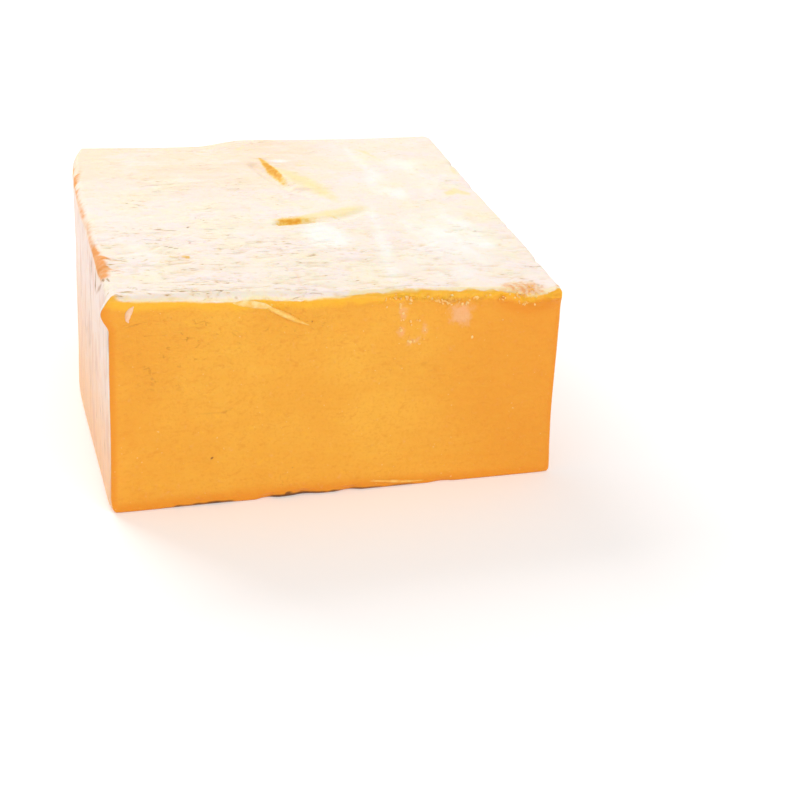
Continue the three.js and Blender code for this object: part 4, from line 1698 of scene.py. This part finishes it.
@dataclass
class RimCrumbs:
    """Crumbs that the wire left under the rim, scattered over the face where the marks say.

    The density is in crumbs for each square metre, and the crumbs' size in metres.
    """

    finish: ScrapFinish
    places: tuple[Run | Patch, ...] = (
        Run((
            (19.5, 82.2, 1, 0.6), (25.2, 82.6, 1.5, 1), (30, 80.6, 1.8, 0.9), (36.5, 81.4, 1.2, 0.5),
            (43, 79, 1.8, 0.8),
        )),
        Run(((43.5, 77.9, 1, 1), (47, 77.6, 0.9, 0.9), (53.9, 77.5, 1, 1))),
        Run(((46, 80.2, 0.8, 0.5), (56, 79.5, 0.9, 0.7), (62.2, 79.3, 0.9, 0.7), (67.6, 78.4, 1.5, 1))),
        Run(((25.6, 81, 1.4, 0.7), (26.3, 75.8, 1.5, 0.7), (26.6, 71.6, 1.5, 0.6), (24.6, 68.3, 1.3, 0.6))),
        Run((
            (25, 66.6, 1.1, 0.7), (27.4, 63.8, 1.1, 0.8), (29.9, 62.3, 1, 0.8), (32.7, 61.2, 1, 0.8),
            (35.2, 63.2, 1.2, 1),
        )),
        Run(((35.2, 63.2, 1.2, 1), (36, 66, 1, 0.7), (35.2, 70.4, 0.9, 0.6), (30.6, 72.1, 0.9, 0.5))),
        Run(((72, 77, 1.2, 0.5), (76, 74.6, 1, 0.6), (80.6, 74.6, 1.2, 0.7), (85, 77, 1.2, 0.4))),
        Patch(76, 79.6, 7, 3.4, 0.7),
        Patch(30, 68, 9, 12, 0.06),
    )
    span_x: tuple[float, float] = (12.0, 88.0)
    span_z: tuple[float, float] = (56.0, 86.0)
    step: float = 0.8
    background: float = 0.004
    density: float = 0.75e6
    size: float = 0.00062
    least_form: tuple[float, float, float] = (0.45, 0.4, 0.3)
    most_form: tuple[float, float, float] = (1.5, 1.15, 0.85)
    roughness_mm: float = 0.4
    roughness_step_mm: float = 0.5
    seed: int = 12

    def guide(self, face: CutFace) -> bpy.types.Object:
        """Make the surface that the crumbs are scattered over, with the share of crumbs at each point.

        Args:
            face: the face that they lie on.

        Returns:
            The surface.
        """
        xs, zs = (np.arange(low, high, self.step) for low, high in (self.span_x, self.span_z))
        points, number = [], {}
        for i, x in enumerate(xs):
            for j, z in enumerate(zs):
                depth = face.at(x, z)
                if depth is not None:
                    number[i, j] = len(points)
                    points.append((x + face.shift, depth, z))
        faces = [
            tuple(number[cell] for cell in ((i, j), (i + 1, j), (i + 1, j + 1), (i, j + 1)))
            for i, j in number if {(i + 1, j), (i + 1, j + 1), (i, j + 1)} <= number.keys()
        ]
        points = np.array(points)
        share = total(self.places, points[:, 0] - face.shift, points[:, 2]) + self.background
        guide = mesh_piece("crumb_guide", points, faces)
        layer = guide.data.attributes.new("share", "FLOAT", "POINT")
        layer.data.foreach_set("value", np.clip(share, 0.0, 1.0).astype(np.float32))
        return guide

    def tree(self) -> tuple[bpy.types.NodeTree, dict[str, str]]:
        """Build the nodes that scatter the crumbs.

        Returns:
            The node group, and the identifier of each named input.
        """
        tree = bpy.data.node_groups.new("scatter_crumbs", "GeometryNodeTree")
        kinds = {
            "Guide": "Geometry", "Density": "Float", "Crumb size": "Float", "Seed": "Int",
            "Finish": "Material",
        }
        names = {
            name: tree.interface.new_socket(name, in_out="INPUT", socket_type=f"NodeSocket{kind}").identifier
            for name, kind in kinds.items()
        }
        tree.interface.new_socket("Crumbs", in_out="OUTPUT", socket_type="NodeSocketGeometry")
        given = add_node(tree, "NodeGroupInput").outputs
        share = add_node(tree, "GeometryNodeInputNamedAttribute", {"Name": "share"}, data_type="FLOAT")
        density = add_node(tree, "ShaderNodeMath", {
            0: share.outputs[0], 1: given["Density"],
        }, operation="MULTIPLY")
        spots = add_node(tree, "GeometryNodeDistributePointsOnFaces", {
            "Mesh": given["Guide"], "Density": density.outputs[0], "Seed": given["Seed"],
        })
        turn = add_node(tree, "FunctionNodeRandomValue", {
            0: (0.0, 0.0, 0.0), 1: (math.tau, math.tau, math.tau), "Seed": given["Seed"],
        }, data_type="FLOAT_VECTOR")
        form = add_node(tree, "FunctionNodeRandomValue", {
            0: self.least_form, 1: self.most_form, "Seed": given["Seed"],
        }, data_type="FLOAT_VECTOR")
        crumb = add_node(tree, "GeometryNodeMeshIcoSphere", {
            "Radius": given["Crumb size"], "Subdivisions": 2,
        })
        placed = add_node(tree, "GeometryNodeInstanceOnPoints", {
            "Points": spots.outputs["Points"], "Instance": crumb.outputs["Mesh"],
            "Rotation": turn.outputs[0], "Scale": form.outputs[0],
        })
        real = add_node(tree, "GeometryNodeRealizeInstances", {"Geometry": placed.outputs[0]})
        rough = add_node(tree, "ShaderNodeTexNoise", {
            "Scale": 1 / (self.roughness_step_mm * MM), "Detail": 1.0,
        })
        centred = add_node(tree, "ShaderNodeVectorMath", {
            0: rough.outputs["Color"], 1: (0.5, 0.5, 0.5),
        }, operation="SUBTRACT")
        offset = add_node(tree, "ShaderNodeVectorMath", {
            0: centred.outputs[0], "Scale": self.roughness_mm * MM,
        }, operation="SCALE")
        uneven = add_node(tree, "GeometryNodeSetPosition", {
            "Geometry": real.outputs[0], "Offset": offset.outputs[0],
        })
        dressed = add_node(tree, "GeometryNodeSetMaterial", {
            "Geometry": uneven.outputs[0], "Material": given["Finish"],
        })
        add_node(tree, "NodeGroupOutput", {"Crumbs": dressed.outputs[0]})
        return tree, names

    def build(self, face: CutFace) -> bpy.types.Object:
        """Scatter and dress the crumbs.

        Args:
            face: the face that they lie on.

        Returns:
            The finished piece.
        """
        guide = self.guide(face)
        tree, names = self.tree()
        scatter = guide.modifiers.new("scatter", "NODES")
        scatter.node_group = tree
        scatter[names["Density"]] = self.density
        scatter[names["Crumb size"]] = self.size
        scatter[names["Seed"]] = self.seed
        scatter[names["Finish"]] = self.finish.build()
        whole = guide.evaluated_get(bpy.context.evaluated_depsgraph_get())
        piece = bpy.data.objects.new("rim_crumbs", bpy.data.meshes.new_from_object(whole))
        guide.modifiers.remove(scatter)
        bpy.data.objects.remove(guide)
        bpy.context.scene.collection.objects.link(piece)
        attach(piece, BODY)
        return piece


@dataclass
class CheeseBlock:
    """The block itself, with its fine surface."""

    form: BlockForm = field(default_factory=BlockForm)
    lattice: Lattice = field(default_factory=Lattice)
    fine: FineRelief = field(default_factory=FineRelief)
    marks: SurfaceMarks = field(default_factory=SurfaceMarks)
    skin: CheeseSkin = CheeseSkin()
    shift: tuple[float, float] = (0.0, 0.0)

    def surface(self, squared: np.ndarray) -> tuple[np.ndarray, dict[str, np.ndarray]]:
        """Bring points of the squared block to the finished surface.

        Args:
            squared: points on the squared block.

        Returns:
            The finished points, and the marks at them.
        """
        flat = self.form.rounded(Places(*squared.T))
        cover = self.marks.border.cover(self.form, flat)
        raised = self.form.relief(flat)
        moves = self.fine.moves(self.form, flat, cover)
        points = self.form.settle(Places(*(place + move for place, move in zip(raised, moves))))
        points[:, 2] = np.maximum(points[:, 2], 0.0)
        fields = self.marks.fields(self.form, flat, Places(*self.form.settle(raised).T), cover)
        # Depth of the wrinkles' valleys, which gets painted shade.
        fields["valleys"] = -self.fine.valleys(flat) * fields["level"]
        # How much painted shade darkens the bevel under the torn edge.
        fields["under"] = self.fine.under(self.form, flat)
        return points, fields

    def build(self) -> bpy.types.Object:
        """Build and dress the block.

        Returns:
            The finished piece.
        """
        mesh = self.lattice.build(self.form)
        squared = np.empty(3 * len(mesh.vertices))
        mesh.vertices.foreach_get("co", squared)
        points, fields = self.surface(squared.reshape(-1, 3))
        low, high = (np.array(corner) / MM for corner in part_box(NODE))
        middle = (low + high) / 2 - (points.min(axis=0) + points.max(axis=0)) / 2
        self.shift = (middle[0], middle[1])
        mesh.vertices.foreach_set("co", ((points + (*self.shift, 0.0)) * MM).ravel())
        mesh.polygons.foreach_set("use_smooth", [True] * len(mesh.polygons))
        mesh.update()
        piece = bpy.data.objects.new("block", mesh)
        bpy.context.scene.collection.objects.link(piece)
        for name, values in fields.items():
            layer = mesh.attributes.new(name, "FLOAT", "POINT")
            layer.data.foreach_set("value", values.astype(np.float32))
        mesh.materials.append(self.skin.build())
        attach(piece, BODY)
        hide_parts(NODE)
        return piece


@dataclass
class Studio:
    """Plain pale floor, soft lights and the camera, in metres, watts and degrees."""

    floor_size: float = 6.0
    floor_colour: str = "#FAF8F7"
    floor_roughness: float = 0.9
    floor_glow: float = 0.16
    sky_strength: float = 0.55
    aim: tuple[float, float, float] = (0.0, 0.0, 0.05)
    camera_place: tuple[float, float, float] = (-0.17788, -1.00674, 0.41832)
    pitch: float = 22.36
    yaw: float = 12.73
    focal_pixels: float = 2500.0
    frame_pixels: float = 800.0
    sensor: float = 36.0

    def build_floor(self) -> None:
        """Lay the floor, a matt white table that glows a little as paper does in strong light."""
        half = self.floor_size / 2 / MM
        corners = np.array([(-half, -half, 0.0), (half, -half, 0.0), (half, half, 0.0), (-half, half, 0.0)])
        floor = mesh_piece("floor", corners, [(0, 1, 2, 3)], smooth=False)
        material = bpy.data.materials.new("matt_white_table")
        material.use_nodes = True
        inputs = material.node_tree.nodes["Principled BSDF"].inputs
        inputs["Base Color"].default_value = linear(self.floor_colour)
        inputs["Roughness"].default_value = self.floor_roughness
        inputs["Emission Color"].default_value = linear(self.floor_colour)
        inputs["Emission Strength"].default_value = self.floor_glow
        floor.data.materials.append(material)

    def add_light(self, name: str, place: tuple[float, float, float], size: float, power: float) -> None:
        """Add a soft square light that faces the block.

        Args:
            name: name of the light.
            place: where it hangs.
            size: length of its sides.
            power: its power.
        """
        light = bpy.data.lights.new(name, "AREA")
        light.size = size
        light.energy = power
        lamp = bpy.data.objects.new(name, light)
        lamp.location = place
        lamp.rotation_euler = (Vector(self.aim) - Vector(place)).to_track_quat("-Z", "Y").to_euler()
        bpy.context.scene.collection.objects.link(lamp)

    def build_lights(self) -> None:
        """Light the block from all round, most from above and behind."""
        world = bpy.data.worlds.new("studio")
        bpy.context.scene.world = world
        world.use_nodes = True
        background = world.node_tree.nodes["Background"]
        background.inputs["Color"].default_value = (1.0, 1.0, 1.0, 1.0)
        background.inputs["Strength"].default_value = self.sky_strength
        self.add_light("back_window", (-0.5, 1.42, 1.0), 1.1, 21.6)
        self.add_light("front_fill", (0.5, -1.5, 1.2), 1.2, 13.4)

    def build_camera(self) -> None:
        """Set the camera where the block shows as in the picture of it."""
        pitch, yaw = math.radians(self.pitch), math.radians(self.yaw)
        look = Vector((math.sin(yaw) * math.cos(pitch), math.cos(yaw) * math.cos(pitch), -math.sin(pitch)))
        data = bpy.data.cameras.new("camera")
        data.sensor_width = self.sensor
        data.lens = self.focal_pixels / self.frame_pixels * self.sensor
        camera = bpy.data.objects.new("camera", data)
        camera.location = self.camera_place
        camera.rotation_euler = look.to_track_quat("-Z", "Y").to_euler()
        bpy.context.scene.collection.objects.link(camera)
        bpy.context.scene.camera = camera

    def build(self) -> None:
        """Build the whole studio."""
        bpy.context.scene.view_settings.view_transform = "Standard"
        self.build_camera()
        self.build_floor()
        self.build_lights()


CRUMB = ScrapFinish("dried_crumb_of_paste", "#FCB84E", "#FFDC94")
RIM_FLAP = ScrapFinish("thin_drawn_paste", "#FAC45C", "#FFDE98")
RIM_CURL = ScrapFinish("drawn_paste", "#FCC050", "#FFD67C")
RIND_CHIP = ScrapFinish("chip_of_rind", "#F8BE8C", "#FCD9BC")
BASE_SHRED = ScrapFinish("shred_of_paste", "#F9AC34", "#FFC65C")
SMEARS = (
    Smear("rim_flap", (
        (-43.0, 85.6, 0.6, 0.1), (-38.5, 85.0, 1.5, 0.35), (-33.5, 84.2, 1.9, 0.55), (-29.0, 83.2, 1.7, 0.7),
        (-24.6, 81.6, 0.9, 0.4),
    ), RIM_FLAP, unevenness=0.05, seed=4),
    Smear("rim_curl", (
        (-28.5, 82.4, 1.0, 0.7), (-25.5, 81.2, 1.5, 1.3), (-22.0, 79.3, 1.4, 1.5), (-18.0, 76.9, 1.1, 1.3),
        (-14.2, 74.9, 0.8, 0.9), (-10.6, 73.2, 0.45, 0.4),
    ), RIM_CURL),
    Smear("rind_chip", (
        (-79.4, 87.6, 0.6, 0.4), (-80.6, 86.0, 1.4, 0.8), (-81.8, 83.8, 1.3, 0.9), (-82.2, 81.6, 1.0, 0.7),
        (-81.4, 80.2, 0.6, 0.3),
    ), RIND_CHIP, seed=5),
    Smear("base_shred", (
        (12.5, 3.6, 0.5, 0.4), (17.0, 3.2, 0.7, 0.8), (24.0, 2.4, 0.7, 0.9), (30.0, 1.8, 0.6, 0.8),
        (36.5, 1.6, 0.4, 0.4),
    ), BASE_SHRED, seed=8),
)


def main() -> None:
    """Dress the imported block, set up the studio and report each piece."""
    logging.basicConfig(level=logging.INFO, format="%(message)s")
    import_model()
    Studio().build()
    block = CheeseBlock()
    pieces = [block.build()]
    face = CutFace(pieces[0], block.shift[0])
    pieces += [smear.build(face) for smear in SMEARS]
    pieces.append(RimCrumbs(CRUMB).build(face))
    for piece in pieces:
        piece.data.calc_loop_triangles()
        log.info("%s: %d triangles", piece.name, len(piece.data.loop_triangles))


if __name__ == "__main__":
    main()
